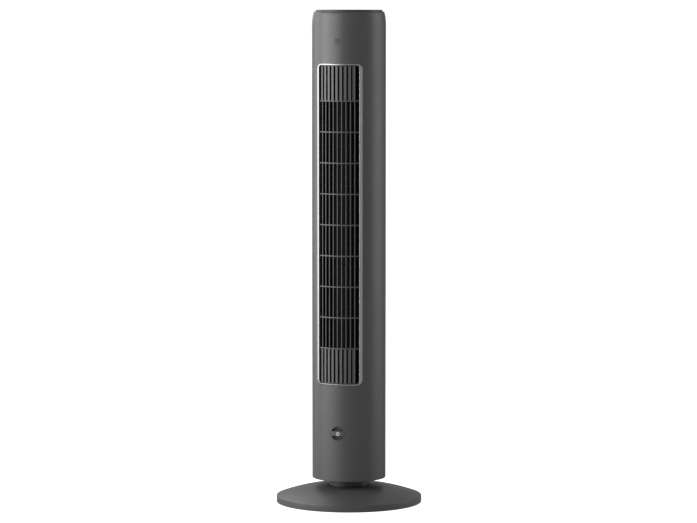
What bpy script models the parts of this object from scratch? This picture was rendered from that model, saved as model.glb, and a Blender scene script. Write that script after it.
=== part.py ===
"""Tower fan: a tall round tower that swings on a round base, modelled in metres, +Z up, front towards -Y.

The origin is the centre of the base on the floor. Every separate physical piece is one object.
"""

import math

import bmesh
import bpy
from mathutils import Matrix, Vector

MM = 0.001
GAP = 0.3 * MM  # between neighbours that touch on the real fan

# Driving dimensions of the whole fan
TOTAL_HEIGHT = 1050 * MM
BODY_R = 78.5 * MM
BODY_BOTTOM = 53.2 * MM
BASE_R = 155 * MM

# Housing shells
WALL = 2.4 * MM
SHOULDER_TOP = TOTAL_HEIGHT - 3.5 * MM
SHOULDER_RISE = 31 * MM
SHOULDER_RUN = 5.4 * MM
SHOULDER_RUN_INSIDE = 4.8 * MM
SHOULDER_STEPS = 4
HALF_TURN_STEPS = 26
SEAM_ANGLE = math.radians(0.12)  # half of the gap where front and rear shells meet
BODY_IN_R = BODY_R - WALL

# Air outlet: a window in the front shell with a bright trim and a grille
WINDOW_Z = 598.2 * MM
TRIM_HALF_W = 50.1 * MM
TRIM_HALF_H = 340.2 * MM
TRIM_CORNER_R = 11 * MM
TRIM_SIDE = 5.2 * MM
TRIM_END = 3.8 * MM
TRIM_INNER_CORNER = 6.2 * MM
TRIM_PROUD = 0.9 * MM
TRIM_DEPTH = 4.2 * MM
SLAT_PITCH = math.radians(6.95)
SLATS = 9
SLAT_WIDTH = 2.6 * MM
RIB_WIDTH = 6 * MM
BAR_PITCH = 65.3 * MM
BARS = 9
BAR_HEIGHT = 3.0 * MM
GRILLE_FRONT_R = 77.8 * MM
GRILLE_BACK_R = 73.0 * MM
GRILLE_FRAME = 1.8 * MM
GRILLE_GAP = 0.5 * MM

# Air intake: a window in the rear shell with a slatted cover
INTAKE_HALF_ANGLE = math.radians(49)
INTAKE_HALF_H = 336 * MM
INTAKE_SLATS = 14
INTAKE_BARS = 7
INTAKE_FRONT_R = BODY_R
INTAKE_BACK_R = 74.6 * MM
INTAKE_FRAME_ANGLE = math.radians(2.2)
INTAKE_SLAT_ANGLE = math.radians(2.1)
INTAKE_BAR_HEIGHT = 4 * MM
INTAKE_FRAME_H = 5 * MM

# Base and swivel
FEET = 5
RIM_BOTTOM = 0.8 * MM
PLATE_BOTTOM = 2.1 * MM
RIM_TOP = 15.5 * MM
NECK_R = 43.5 * MM
NECK_TOP = 53.2 * MM
DOME_TOP = 38 * MM
DOME_POWER = 1.75
DOME_STEPS = 4
BASE_WALL = 2.5 * MM
POST_R = 15 * MM
POST_TOP_R = 12 * MM
POST_SHOULDER = 66.6 * MM
POST_TOP = 88 * MM
POST_FLAT_X = 9.5 * MM
GEAR_BOTTOM = 67 * MM
GEAR_TOP = 73 * MM

# Swing gears
MODULE = 1.25 * MM
SECTOR_TEETH = 48  # of a whole wheel; only the arc that is used carries teeth
PINION_TEETH = 16
SECTOR_HALF_TEETH = 8
PRESSURE_ANGLE = math.radians(20)
BACKLASH = 0.16 * MM
GEAR_CENTRES = MODULE * (SECTOR_TEETH + PINION_TEETH) / 2

# Cross-flow fan wheel and its decks
WHEEL_Y = 8 * MM
WHEEL_R = 43 * MM
WHEEL_BOTTOM = 250 * MM
WHEEL_TOP = 937 * MM
BLADES = 14
BLADE_CHORD = 9 * MM
BLADE_THICK = 1.3 * MM
BLADE_TILT = math.radians(62)
MOTOR_DECK_Z = 240 * MM
BEARING_DECK_Z = 943 * MM
DECK_THICK = 4 * MM
MOTOR_R = 38 * MM
MOTOR_BOTTOM = 196 * MM
MOTOR_TOP = 236 * MM
SHAFT_R = 4 * MM
HARNESS_X = 63.9 * MM
HARNESS_Y = 23.3 * MM
LEAD_TOP = (55 * MM, 20 * MM)

# Scent drawer in the lower front
DRAWER_Z = 156.2 * MM
DRAWER_R = 15.4 * MM
DRAWER_BACK_Y = -38 * MM
GRIP_R = 13.9 * MM
GRIP_BAR = 10 * MM
GRIP_DEPTH = 7 * MM

# Control panel on top
PANEL_R = 70.8 * MM
PANEL_BOTTOM = TOTAL_HEIGHT - 5.6 * MM
KEY_TOP = TOTAL_HEIGHT - 0.4 * MM
KEY_R = 8.2 * MM
POWER_KEY_R = 11 * MM
KEY_RING_R = 46 * MM
TRAY_FLOOR = 1026 * MM
BOARD_Z = 1028.4 * MM


def clear_scene():
    for old in list(bpy.data.objects):
        bpy.data.objects.remove(old)


def material(name, colour, roughness, metallic=0.0):
    made = bpy.data.materials.new(name)
    made.use_nodes = True
    shader = made.node_tree.nodes["Principled BSDF"]
    shader.inputs["Base Color"].default_value = (*colour, 1.0)
    shader.inputs["Roughness"].default_value = roughness
    shader.inputs["Metallic"].default_value = metallic
    return made


def add_object(name, bm, finish, group=None):
    """Turns a bmesh into a named, smooth-shaded object with outward normals."""
    bmesh.ops.remove_doubles(bm, verts=bm.verts, dist=1e-7)
    bmesh.ops.recalc_face_normals(bm, faces=bm.faces)
    mesh = bpy.data.meshes.new(name)
    bm.to_mesh(mesh)
    bm.free()
    mesh.shade_smooth()
    mesh.set_sharp_from_angle(angle=math.radians(35))
    made = bpy.data.objects.new(name, mesh)
    bpy.context.scene.collection.objects.link(made)
    if finish:
        mesh.materials.append(finish)
    if group:
        made.parent = group
        made.matrix_parent_inverse = group.matrix_world.inverted()
    return made


def joint_group(name, place=(0, 0, 0)):
    """An empty on a joint's axis that carries the pieces of one moving body."""
    group = bpy.data.objects.new(name, None)
    bpy.context.scene.collection.objects.link(group)
    group.location = place
    bpy.context.view_layer.update()
    return group


def turned(profile, steps=32, centre=(0, 0), start=0.0, sweep=2 * math.pi):
    """A bmesh of a closed (radius, height) profile spun about a vertical axis."""
    bm = bmesh.new()
    ring = [bm.verts.new((r, 0, z)) for r, z in profile]
    edges = [bm.edges.new((a, b)) for a, b in zip(ring, ring[1:] + ring[:1])]
    bmesh.ops.rotate(bm, verts=ring, cent=(0, 0, 0), matrix=Matrix.Rotation(start, 3, "Z"))
    whole = sweep > 2 * math.pi - 1e-6
    bmesh.ops.spin(
        bm, geom=ring + edges, cent=(0, 0, 0), axis=(0, 0, 1), angle=sweep, steps=steps, use_merge=whole
    )
    bmesh.ops.remove_doubles(bm, verts=bm.verts, dist=1e-7)
    if not whole:
        rims = [e for e in bm.edges if len(e.link_faces) == 1]
        bmesh.ops.holes_fill(bm, edges=rims, sides=0)
    bmesh.ops.translate(bm, verts=bm.verts, vec=(*centre, 0))
    return bm


def prism(outline, low, high):
    """A bmesh of an (x, y) outline extruded from one height to another."""
    bm = bmesh.new()
    face = bm.faces.new([bm.verts.new((x, y, low)) for x, y in outline])
    raised = bmesh.ops.extrude_face_region(bm, geom=[face])["geom"]
    bmesh.ops.translate(
        bm, verts=[g for g in raised if isinstance(g, bmesh.types.BMVert)], vec=(0, 0, high - low)
    )
    return bm


def circle(radius, steps, centre=(0, 0), phase=0.0):
    angles = [phase + 2 * math.pi * i / steps for i in range(steps)]
    return [(centre[0] + radius * math.cos(a), centre[1] + radius * math.sin(a)) for a in angles]


def box(low, high):
    bm = bmesh.new()
    middle = [(a + b) / 2 for a, b in zip(low, high)]
    size = [b - a for a, b in zip(low, high)]
    bmesh.ops.create_cube(bm, size=1, matrix=Matrix.Translation(middle) @ Matrix.Diagonal((*size, 1)))
    return bm


def along_y(bm, place=(0, 0, 0)):
    """Lays a bmesh made along +Z down so that its +Z points to -Y, then moves it."""
    bm.transform(Matrix.Translation(place) @ Matrix.Rotation(math.radians(90), 4, "X"))
    return bm


def radial(bm, angle, height):
    """Turns a bmesh made along +Z so that its +Z points outwards from the fan's axis at that angle."""
    bm.transform(
        Matrix.Translation((0, 0, height))
        @ Matrix.Rotation(angle, 4, "Z")
        @ Matrix.Rotation(math.radians(90), 4, "Y")
    )
    return bm


def boolean(obj, bm, operation, name):
    """Cuts or joins a shape with a Boolean modifier; the shape stays as a hidden helper."""
    helper = add_object(name, bm, None)
    helper.hide_render = True
    helper.display_type = "WIRE"
    modifier = obj.modifiers.new(name, "BOOLEAN")
    modifier.operation = operation
    modifier.object = helper
    modifier.solver = "EXACT"
    return obj


def cut(obj, bm, name):
    return boolean(obj, bm, "DIFFERENCE", "cut_" + name)


def join(obj, bm, name):
    return boolean(obj, bm, "UNION", "add_" + name)


def rounded_rectangle(half_w, half_h, corner, corner_steps=4, side_steps=1, top_steps=1):
    """Points round a rounded rectangle, anticlockwise from the lower right, as (x, z)."""
    points = []
    centres = [(1, -1), (1, 1), (-1, 1), (-1, -1)]
    for index, (sx, sz) in enumerate(centres):
        start = -math.pi / 2 + index * math.pi / 2
        for step in range(corner_steps + 1):
            a = start + step * math.pi / 2 / corner_steps
            points.append(
                (sx * (half_w - corner) + corner * math.cos(a), sz * (half_h - corner) + corner * math.sin(a))
            )
        following = centres[(index + 1) % 4]
        steps = side_steps if following[0] == sx else top_steps
        a = start + math.pi / 2
        here = points[-1]
        there = (
            following[0] * (half_w - corner) + corner * math.cos(a),
            following[1] * (half_h - corner) + corner * math.sin(a),
        )
        for step in range(1, steps):
            t = step / steps
            points.append((here[0] + (there[0] - here[0]) * t, here[1] + (there[1] - here[1]) * t))
    return points


def slotted_shell(angles, heights, solid, inner_r, outer_r):
    """A bmesh of a curved plate made of cells between angles and heights, without the cells where solid(i, j) is false."""
    bm = bmesh.new()
    corners = {}

    def corner(i, j, r):
        if (i, j, r) not in corners:
            corners[i, j, r] = bm.verts.new((r * math.cos(angles[i]), r * math.sin(angles[i]), heights[j]))
        return corners[i, j, r]

    def filled(i, j):
        return 0 <= i < len(angles) - 1 and 0 <= j < len(heights) - 1 and solid(i, j)

    for i in range(len(angles) - 1):
        for j in range(len(heights) - 1):
            if not filled(i, j):
                continue
            for r in (inner_r, outer_r):
                bm.faces.new([corner(i, j, r), corner(i + 1, j, r), corner(i + 1, j + 1, r), corner(i, j + 1, r)])
            walls = [
                (filled(i - 1, j), (i, j), (i, j + 1)),
                (filled(i + 1, j), (i + 1, j), (i + 1, j + 1)),
                (filled(i, j - 1), (i, j), (i + 1, j)),
                (filled(i, j + 1), (i, j + 1), (i + 1, j + 1)),
            ]
            for hidden, a, b in walls:
                if not hidden:
                    bm.faces.new([corner(*a, inner_r), corner(*b, inner_r), corner(*b, outer_r), corner(*a, outer_r)])
    return bm


def ribbon(points, thick):
    """The outline of a wall of even thickness that follows a line of (x, y) points."""
    sides = []
    for sign in (1, -1):
        side = []
        for i, p in enumerate(points):
            before = Vector(points[max(i - 1, 0)])
            after = Vector(points[min(i + 1, len(points) - 1)])
            run = (after - before).normalized()
            side.append((p[0] - sign * run.y * thick / 2, p[1] + sign * run.x * thick / 2))
        sides.append(side)
    return sides[0] + sides[1][::-1]


def gear_outline(teeth, first, count, inner_r, tooth_angle):
    """Outline of count involute teeth of a gear of that many teeth. tooth_angle is where tooth 0 stands."""
    pitch_r = MODULE * teeth / 2
    base_r = pitch_r * math.cos(PRESSURE_ANGLE)
    root_r = pitch_r - 1.3 * MODULE
    tip_r = pitch_r + 0.95 * MODULE
    involute = lambda a: math.tan(a) - a
    half_pitch = math.pi / (2 * teeth) - BACKLASH / (2 * pitch_r)

    def half_width(r):
        a = math.acos(min(1.0, base_r / r))
        return half_pitch + involute(PRESSURE_ANGLE) - involute(a)

    low_r = max(base_r, root_r)
    flank = [low_r + (tip_r - low_r) * t for t in (0.0, 0.5, 1.0)]
    points = []
    for k in range(first, first + count):
        middle = tooth_angle + 2 * math.pi * k / teeth
        radii = [root_r] + flank
        right = [(r, middle - half_width(max(r, base_r))) for r in radii]
        left = [(r, middle + half_width(max(r, base_r))) for r in reversed(radii)]
        points += right + left
    outline = [(r * math.cos(a), r * math.sin(a)) for r, a in points]
    if count < teeth:
        ends = (points[-1][1], points[0][1] + 2 * math.pi)
        steps = 20
        for step in range(steps + 1):
            a = ends[0] + (ends[1] - ends[0]) * step / steps
            outline.append((inner_r * math.cos(a), inner_r * math.sin(a)))
    return outline


def shoulder_radius(z, outer=True):
    """Radius of the housing at a height: straight, then an elliptical shoulder."""
    run = SHOULDER_RUN if outer else SHOULDER_RUN_INSIDE
    start = SHOULDER_TOP - SHOULDER_RISE
    share = min(max((z - start) / SHOULDER_RISE, 0.0), 1.0)
    return (BODY_R if outer else BODY_IN_R) - run * (1 - math.sqrt(1 - share * share))


def shell_profile():
    """Cross-section of the housing wall from the bottom to the top of the shoulder."""
    start = SHOULDER_TOP - SHOULDER_RISE
    quarter = [math.radians(90) * i / SHOULDER_STEPS for i in range(SHOULDER_STEPS + 1)]
    # The shoulder stops a little short of level, where it meets the panel's gap.
    heights = [start + SHOULDER_RISE * math.sin(a) for a in quarter]
    outside = [(shoulder_radius(z), z) for z in heights]
    inside = [(shoulder_radius(z, outer=False), z) for z in reversed(heights)]
    foot = [(BODY_IN_R, BODY_BOTTOM), (BODY_R - 1.2 * MM, BODY_BOTTOM), (BODY_R, BODY_BOTTOM + 1.6 * MM)]
    return foot + outside + inside


def half_shell(front):
    start = (math.pi if front else 0.0) + SEAM_ANGLE
    return turned(shell_profile(), HALF_TURN_STEPS, start=start, sweep=math.pi - 2 * SEAM_ANGLE)


def window_cutter(half_w, half_h, corner, side):
    """A rounded bar that runs through the front (side -1) or rear (side 1) wall."""
    outline = rounded_rectangle(half_w, half_h, corner)
    bm = prism(outline, 0, 60 * MM)
    # The outline's second coordinate becomes height; the bar then points to -Y.
    bm = along_y(bm, (0, -30 * MM, WINDOW_Z))
    if side > 0:
        bm.transform(Matrix.Rotation(math.pi, 4, "Z"))
    return bm


def make_base(finishes):
    grey, black, steel, rubber, bright = (finishes[k] for k in ("body", "inner", "steel", "rubber", "zinc"))
    hole_r = NECK_R + 0.8 * MM

    def dome(r, drop=0.0):
        share = (r - hole_r) / (BASE_R - 2 * MM - hole_r)
        return DOME_TOP - drop - (DOME_TOP - RIM_TOP) * share**DOME_POWER

    outer = [hole_r + (BASE_R - 2 * MM - hole_r) * i / DOME_STEPS for i in range(DOME_STEPS + 1)]
    inner = [hole_r + (BASE_R - 4.4 * MM - hole_r) * i / DOME_STEPS for i in range(DOME_STEPS, -1, -1)]
    profile = [(r, dome(r)) for r in outer]
    profile += [(BASE_R - 0.6 * MM, RIM_TOP - 1.4 * MM), (BASE_R, RIM_TOP - 3 * MM)]
    profile += [(BASE_R, 2 * MM), (BASE_R - 1 * MM, RIM_BOTTOM), (BASE_R - BASE_WALL, RIM_BOTTOM)]
    profile += [(BASE_R - BASE_WALL, 10 * MM)]
    profile += [(r, dome(r, BASE_WALL)) for r in inner]
    cover = add_object("base_cover", turned(profile, 40), grey)
    screw_r = 135 * MM
    for i in range(3):
        a = math.radians(90 + 120 * i)
        place = (screw_r * math.cos(a), screw_r * math.sin(a))
        join(cover, turned([(0, 4.7 * MM), (4.5 * MM, 4.7 * MM), (4.5 * MM, 20.5 * MM), (0, 20.5 * MM)], 12, place), f"boss_{i}")
        cut(cover, prism(circle(1.7 * MM, 10, place), 2 * MM, 14 * MM), f"boss_hole_{i}")
        flange_place = (51 * MM * math.cos(a), 51 * MM * math.sin(a))
        cut(cover, prism(circle(2.0 * MM, 10, flange_place), 30 * MM, 36.6 * MM), f"flange_hole_{i}")

    disc = prism(circle(BASE_R - BASE_WALL - 0.6 * MM, 40), PLATE_BOTTOM, PLATE_BOTTOM + 2.3 * MM)
    plate = add_object("base_plate", disc, black)
    add_object(
        "ballast_ring",
        turned([(84 * MM, 4.9 * MM), (118 * MM, 4.9 * MM), (118 * MM, 9.9 * MM), (84 * MM, 9.9 * MM)], 32),
        steel,
    )
    foot_profile = [(0, 0), (8.4, 0), (9, 0.6), (9, 1.8), (2.7, 1.8), (2.7, 4.8), (3.4, 5.1), (2.2, 6.3), (0, 6.3)]
    foot_profile = [(r * MM, z * MM) for r, z in foot_profile]
    for i in range(FEET):
        a = math.radians(30 + 360 / FEET * i)
        place = (138 * MM * math.cos(a), 138 * MM * math.sin(a))
        add_object(f"foot_{i + 1}", turned(foot_profile, 10, place), rubber)
        cut(plate, prism(circle(3.1 * MM, 12, place), 0, 8 * MM), f"foot_hole_{i}")
    for i in range(3):
        a = math.radians(90 + 120 * i)
        place = (screw_r * math.cos(a), screw_r * math.sin(a))
        head = [(0, 0.4), (2.6, 0.4), (3.4, 1.0), (3.4, 1.8), (1.4, 1.8), (1.4, 12.5), (0, 13.5)]
        add_object(f"plate_screw_{i + 1}", turned([(r * MM, z * MM) for r, z in head], 8, place), bright)
        cut(plate, prism(circle(1.8 * MM, 10, place), 0, 8 * MM), f"screw_hole_{i}")

    post = [(58, 30), (58, 34.3), (43.5, 34.3), (43.5, 52.2), (42.5, 53.2), (15, 53.2), (15, 66.6), (12, 66.6)]
    post += [(12, 87), (11, 88), (8, 88), (8, 50.2), (40.5, 50.2), (40.5, 30)]
    swivel = add_object("swivel_post", turned([(r * MM, z * MM) for r, z in post], 28), black)
    cut(swivel, box((POST_FLAT_X, -20 * MM, POST_SHOULDER), (20 * MM, 20 * MM, POST_TOP + 2 * MM)), "post_flat")
    for i in range(3):
        a = math.radians(90 + 120 * i)
        place = (51 * MM * math.cos(a), 51 * MM * math.sin(a))
        cut(swivel, prism(circle(2.1 * MM, 10, place), 28 * MM, 36 * MM), f"post_hole_{i}")
        screw = [(0, 26.9), (2.8, 26.9), (3.8, 27.6), (3.8, 29.7), (1.7, 29.7), (1.7, 35.6), (0, 36.2)]
        add_object(f"post_screw_{i + 1}", turned([(r * MM, z * MM) for r, z in screw], 8, place), bright)

    slip = [(18, 53.5), (40, 53.5), (40, 55.5), (18, 55.5)]
    add_object("slip_ring", turned([(r * MM, z * MM) for r, z in slip], 32), finishes["pom"])

    outline = gear_outline(SECTOR_TEETH, -SECTOR_HALF_TEETH, 2 * SECTOR_HALF_TEETH + 1, 19 * MM, math.radians(90))
    sector = add_object("sector_gear", prism(outline, GEAR_BOTTOM, GEAR_TOP), finishes["pom"])
    bore = [(min(x, POST_FLAT_X + GAP), y) for x, y in circle(POST_TOP_R + GAP, 40)]
    cut(sector, prism(bore, GEAR_BOTTOM - 5 * MM, GEAR_TOP + 5 * MM), "sector_bore")
    nut = add_object("retaining_nut", prism(circle(17 * MM, 6), GEAR_TOP + GAP, GEAR_TOP + 8 * MM), bright)
    cut(nut, prism(circle(POST_TOP_R + GAP, 32), GEAR_TOP - 2 * MM, GEAR_TOP + 12 * MM), "nut_bore")


def make_lower_tower(finishes, tower):
    black, metal, bright = finishes["inner"], finishes["steel"], finishes["zinc"]
    table = [(15.4, 55.8), (75.6, 55.8), (75.6, 76), (73.4, 76), (73.4, 60), (21, 60), (21, 66.2), (15.4, 66.2)]
    turntable = add_object("turntable", turned([(r * MM, z * MM) for r, z in table], 40), black, tower)
    motor_y = GEAR_CENTRES
    for side in (-1, 1):
        place = (side * 24 * MM, motor_y)
        join(turntable, prism(circle(4.2 * MM, 12, place), 58 * MM, 77.7 * MM), f"motor_leg_{side}")
        cut(turntable, prism(circle(1.7 * MM, 10, place), 66 * MM, 80 * MM), f"motor_leg_hole_{side}")

    stepper = add_object("swing_motor", prism(circle(17.5 * MM, 24, (0, motor_y)), 78 * MM, 98 * MM), metal, tower)
    ear = rounded_rectangle(29 * MM, 4.5 * MM, 4 * MM)
    join(stepper, prism([(x, y + motor_y) for x, y in ear], 78 * MM, 79.4 * MM), "motor_ears")
    cut(stepper, prism(circle(3.2 * MM, 16, (0, motor_y)), 70 * MM, 84 * MM), "motor_nose")
    for side in (-1, 1):
        place = (side * 24 * MM, motor_y)
        cut(stepper, prism(circle(1.8 * MM, 10, place), 70 * MM, 84 * MM), f"ear_hole_{side}")
        screw = [(0, 68), (1.4, 69), (1.4, 79.7), (3, 79.7), (3, 81.2), (2.2, 81.8), (0, 81.8)]
        name = "swing_screw_left" if side < 0 else "swing_screw_right"
        add_object(name, turned([(r * MM, z * MM) for r, z in screw], 8, place), bright, tower)

    board = add_object("power_board", box((-40 * MM, 50 * MM, 112 * MM), (40 * MM, 51.6 * MM, 172 * MM)), finishes["board"], tower)
    parts = [(-34, 38, 118, -10, 160), (-4, 36, 116, 20, 138), (-2, 41, 144, 12, 164), (24, 42, 120, 36, 150)]
    for i, (x0, y0, z0, x1, z1) in enumerate(parts):
        join(board, box((x0 * MM, y0 * MM, z0 * MM), (x1 * MM, 50.5 * MM, z1 * MM)), f"component_{i}")


def make_drawer(finishes, tower, drawer):
    """The round scent drawer, its pad and the sleeve that it slides in."""
    black, grey = finishes["inner"], finishes["body"]
    front = -BODY_R - 5 * MM
    body = add_object(
        "scent_drawer",
        along_y(prism(circle(DRAWER_R, 32), -DRAWER_BACK_Y, -front), (0, 0, DRAWER_Z)),
        grey,
        drawer,
    )
    trim = turned(
        [(BODY_R, DRAWER_Z - 30 * MM), (BODY_R + 30 * MM, DRAWER_Z - 30 * MM),
         (BODY_R + 30 * MM, DRAWER_Z + 30 * MM), (BODY_R, DRAWER_Z + 30 * MM)],
        72,
    )
    cut(body, trim, "drawer_front")
    for side in (-1, 1):
        ends = [math.asin(GRIP_BAR / 2 / GRIP_R), math.pi - math.asin(GRIP_BAR / 2 / GRIP_R)]
        angles = [ends[0] + (ends[1] - ends[0]) * i / 12 for i in range(13)]
        crescent = [(GRIP_R * math.cos(a), side * GRIP_R * math.sin(a)) for a in angles]
        depth_y = BODY_R - GRIP_DEPTH
        cut(body, along_y(prism(crescent, depth_y, BODY_R + 9 * MM), (0, 0, DRAWER_Z)), f"grip_{side}")
    pocket_low = DRAWER_Z - 8 * MM
    cut(body, box((-11 * MM, -68 * MM, pocket_low), (11 * MM, -47 * MM, DRAWER_Z + 30 * MM)), "pocket")
    pad = box((-10.5 * MM, -67.5 * MM, pocket_low + GAP), (10.5 * MM, -47.5 * MM, pocket_low + 5 * MM))
    add_object("scent_pad", pad, finishes["felt"], drawer)
    sleeve = [(DRAWER_R + 0.5 * MM, 36 * MM), (18 * MM, 36 * MM), (18 * MM, 73.6 * MM), (DRAWER_R + 0.5 * MM, 73.6 * MM)]
    add_object("drawer_sleeve", along_y(turned(sleeve, 32), (0, 0, DRAWER_Z)), black, tower)


def make_air_path(finishes, tower):
    black, steel = finishes["inner"], finishes["steel"]
    for name, low in (("motor_deck", MOTOR_DECK_Z), ("bearing_deck", BEARING_DECK_Z)):
        deck = add_object(name, prism(circle(BODY_IN_R - 0.6 * MM, 40), low, low + DECK_THICK), black, tower)
        hole_r = 15 * MM if name == "motor_deck" else 8.4 * MM
        cut(deck, prism(circle(hole_r, 24, (0, WHEEL_Y)), low - 3 * MM, low + 9 * MM), name + "_hole")
        cut(deck, prism(circle(4.5 * MM, 12, (HARNESS_X, HARNESS_Y)), low - 3 * MM, low + 9 * MM), name + "_harness")

    low, high = MOTOR_DECK_Z + DECK_THICK + GAP, BEARING_DECK_Z - GAP
    start, end, steps = math.radians(95), math.radians(215), 14
    guide = []
    for i in range(steps + 1):
        share = i / steps
        a = start + (end - start) * share
        r = 47 * MM + 12 * MM * share**1.2
        guide.append((r * math.cos(a), WHEEL_Y + r * math.sin(a)))
    guide += [(-47.4 * MM, -38 * MM), (-46.4 * MM, -50 * MM)]
    add_object("air_guide", prism(ribbon(guide, 2 * MM), low, high), black, tower)
    tongue = [(46.4, -50), (42.5, -34), (41.2, -24), (44, -17.5), (54, -17.5), (69, -21)]
    tongue = [(x * MM, y * MM) for x, y in tongue]
    add_object("stabiliser", prism(ribbon(tongue, 2 * MM), low, high), black, tower)

    can = [(0, MOTOR_BOTTOM), (MOTOR_R - 3 * MM, MOTOR_BOTTOM), (MOTOR_R, MOTOR_BOTTOM + 3 * MM)]
    can += [(MOTOR_R, MOTOR_TOP - 6 * MM), (MOTOR_R - 6 * MM, MOTOR_TOP - 3 * MM)]
    can += [(14 * MM, MOTOR_TOP - 3 * MM), (14 * MM, MOTOR_TOP), (SHAFT_R + 0.4 * MM, MOTOR_TOP)]
    can += [(SHAFT_R + 0.4 * MM, MOTOR_TOP - 22 * MM), (0, MOTOR_TOP - 22 * MM)]
    add_object("fan_motor", turned(can, 28, (0, WHEEL_Y)), steel, tower)
    mount = [(18 * MM, MOTOR_TOP - 2.6 * MM), (30 * MM, MOTOR_TOP - 2.6 * MM)]
    mount += [(30 * MM, MOTOR_DECK_Z - GAP), (18 * MM, MOTOR_DECK_Z - GAP)]
    add_object("motor_cushion", turned(mount, 20, (0, WHEEL_Y)), finishes["rubber"], tower)
    bush = [(3.3, 939.6), (8, 939.6), (8, 947.6), (10.5, 947.6), (10.5, 949.2), (3.3, 949.2)]
    add_object("top_bearing", turned([(r * MM, z * MM) for r, z in bush], 20, (0, WHEEL_Y)), finishes["rubber"], tower)


def make_wheel(finishes, wheel):
    """The cross-flow wheel: a drum of forward-curved blades between discs, with its shaft and top pin."""
    black, steel = finishes["wheel"], finishes["steel"]
    disc_t = 2.4 * MM
    bottom = [(0, 0.0), (WHEEL_R, 0.0), (WHEEL_R, disc_t), (0, disc_t)]
    drum = turned([(r, WHEEL_BOTTOM + z) for r, z in bottom], 28, (0, WHEEL_Y))
    body = add_object("fan_wheel", drum, black, wheel)
    middle_z = (WHEEL_BOTTOM + WHEEL_TOP) / 2
    ring = [(WHEEL_R - 12 * MM, 0.0), (WHEEL_R, 0.0), (WHEEL_R, disc_t), (WHEEL_R - 12 * MM, disc_t)]
    join(body, turned([(r, middle_z + z) for r, z in ring], 28, (0, WHEEL_Y)), "wheel_ring")
    join(body, turned([(r, WHEEL_TOP - disc_t + z) for r, z in bottom], 28, (0, WHEEL_Y)), "wheel_top")
    for i in range(BLADES):
        a = 2 * math.pi * (i + 0.5) / BLADES
        half = (BLADE_CHORD / 2, BLADE_THICK / 2)
        blade = box((-half[0], -half[1], WHEEL_BOTTOM + 1.2 * MM), (half[0], half[1], WHEEL_TOP - 1.2 * MM))
        reach = WHEEL_R - 5.4 * MM
        place = (reach * math.cos(a), WHEEL_Y + reach * math.sin(a), 0)
        blade.transform(Matrix.Translation(place) @ Matrix.Rotation(a + BLADE_TILT, 4, "Z"))
        join(body, blade, f"blade_{i}")
    cut(body, prism(circle(SHAFT_R + GAP, 16, (0, WHEEL_Y)), WHEEL_BOTTOM - 5 * MM, WHEEL_BOTTOM + 8 * MM), "wheel_bore")
    cut(body, prism(circle(3 * MM + GAP, 16, (0, WHEEL_Y)), WHEEL_TOP - 8 * MM, WHEEL_TOP + 5 * MM), "wheel_top_bore")
    add_object("motor_shaft", prism(circle(SHAFT_R, 16, (0, WHEEL_Y)), MOTOR_TOP - 21 * MM, WHEEL_BOTTOM + 16 * MM), steel, wheel)
    hub = [(SHAFT_R + GAP, 252.7), (12 * MM, 252.7), (12 * MM, 264), (SHAFT_R + GAP, 264)]
    hub = [(r, z * MM) for r, z in hub]
    add_object("shaft_hub", turned(hub, 16, (0, WHEEL_Y)), finishes["rubber"], wheel)
    add_object("top_pin", prism(circle(3 * MM, 16, (0, WHEEL_Y)), WHEEL_TOP - 12 * MM, 948 * MM), steel, wheel)


def make_pinion(finishes, pinion):
    outline = gear_outline(PINION_TEETH, 0, PINION_TEETH, 0, math.radians(-90 + 180 / PINION_TEETH))
    outline = [(x, y + GEAR_CENTRES) for x, y in outline]
    gear = add_object("swing_pinion", prism(outline, GEAR_BOTTOM, GEAR_TOP), finishes["pom"], pinion)
    join(gear, prism(circle(5 * MM, 16, (0, GEAR_CENTRES)), GEAR_TOP - 1 * MM, GEAR_TOP + 2 * MM), "pinion_hub")
    cut(gear, prism(circle(2.5 * MM + GAP, 16, (0, GEAR_CENTRES)), GEAR_BOTTOM - 2 * MM, GEAR_TOP + 5 * MM), "pinion_bore")
    add_object("swing_shaft", prism(circle(2.5 * MM, 16, (0, GEAR_CENTRES)), GEAR_BOTTOM - 1 * MM, 83 * MM), finishes["steel"], pinion)


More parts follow.
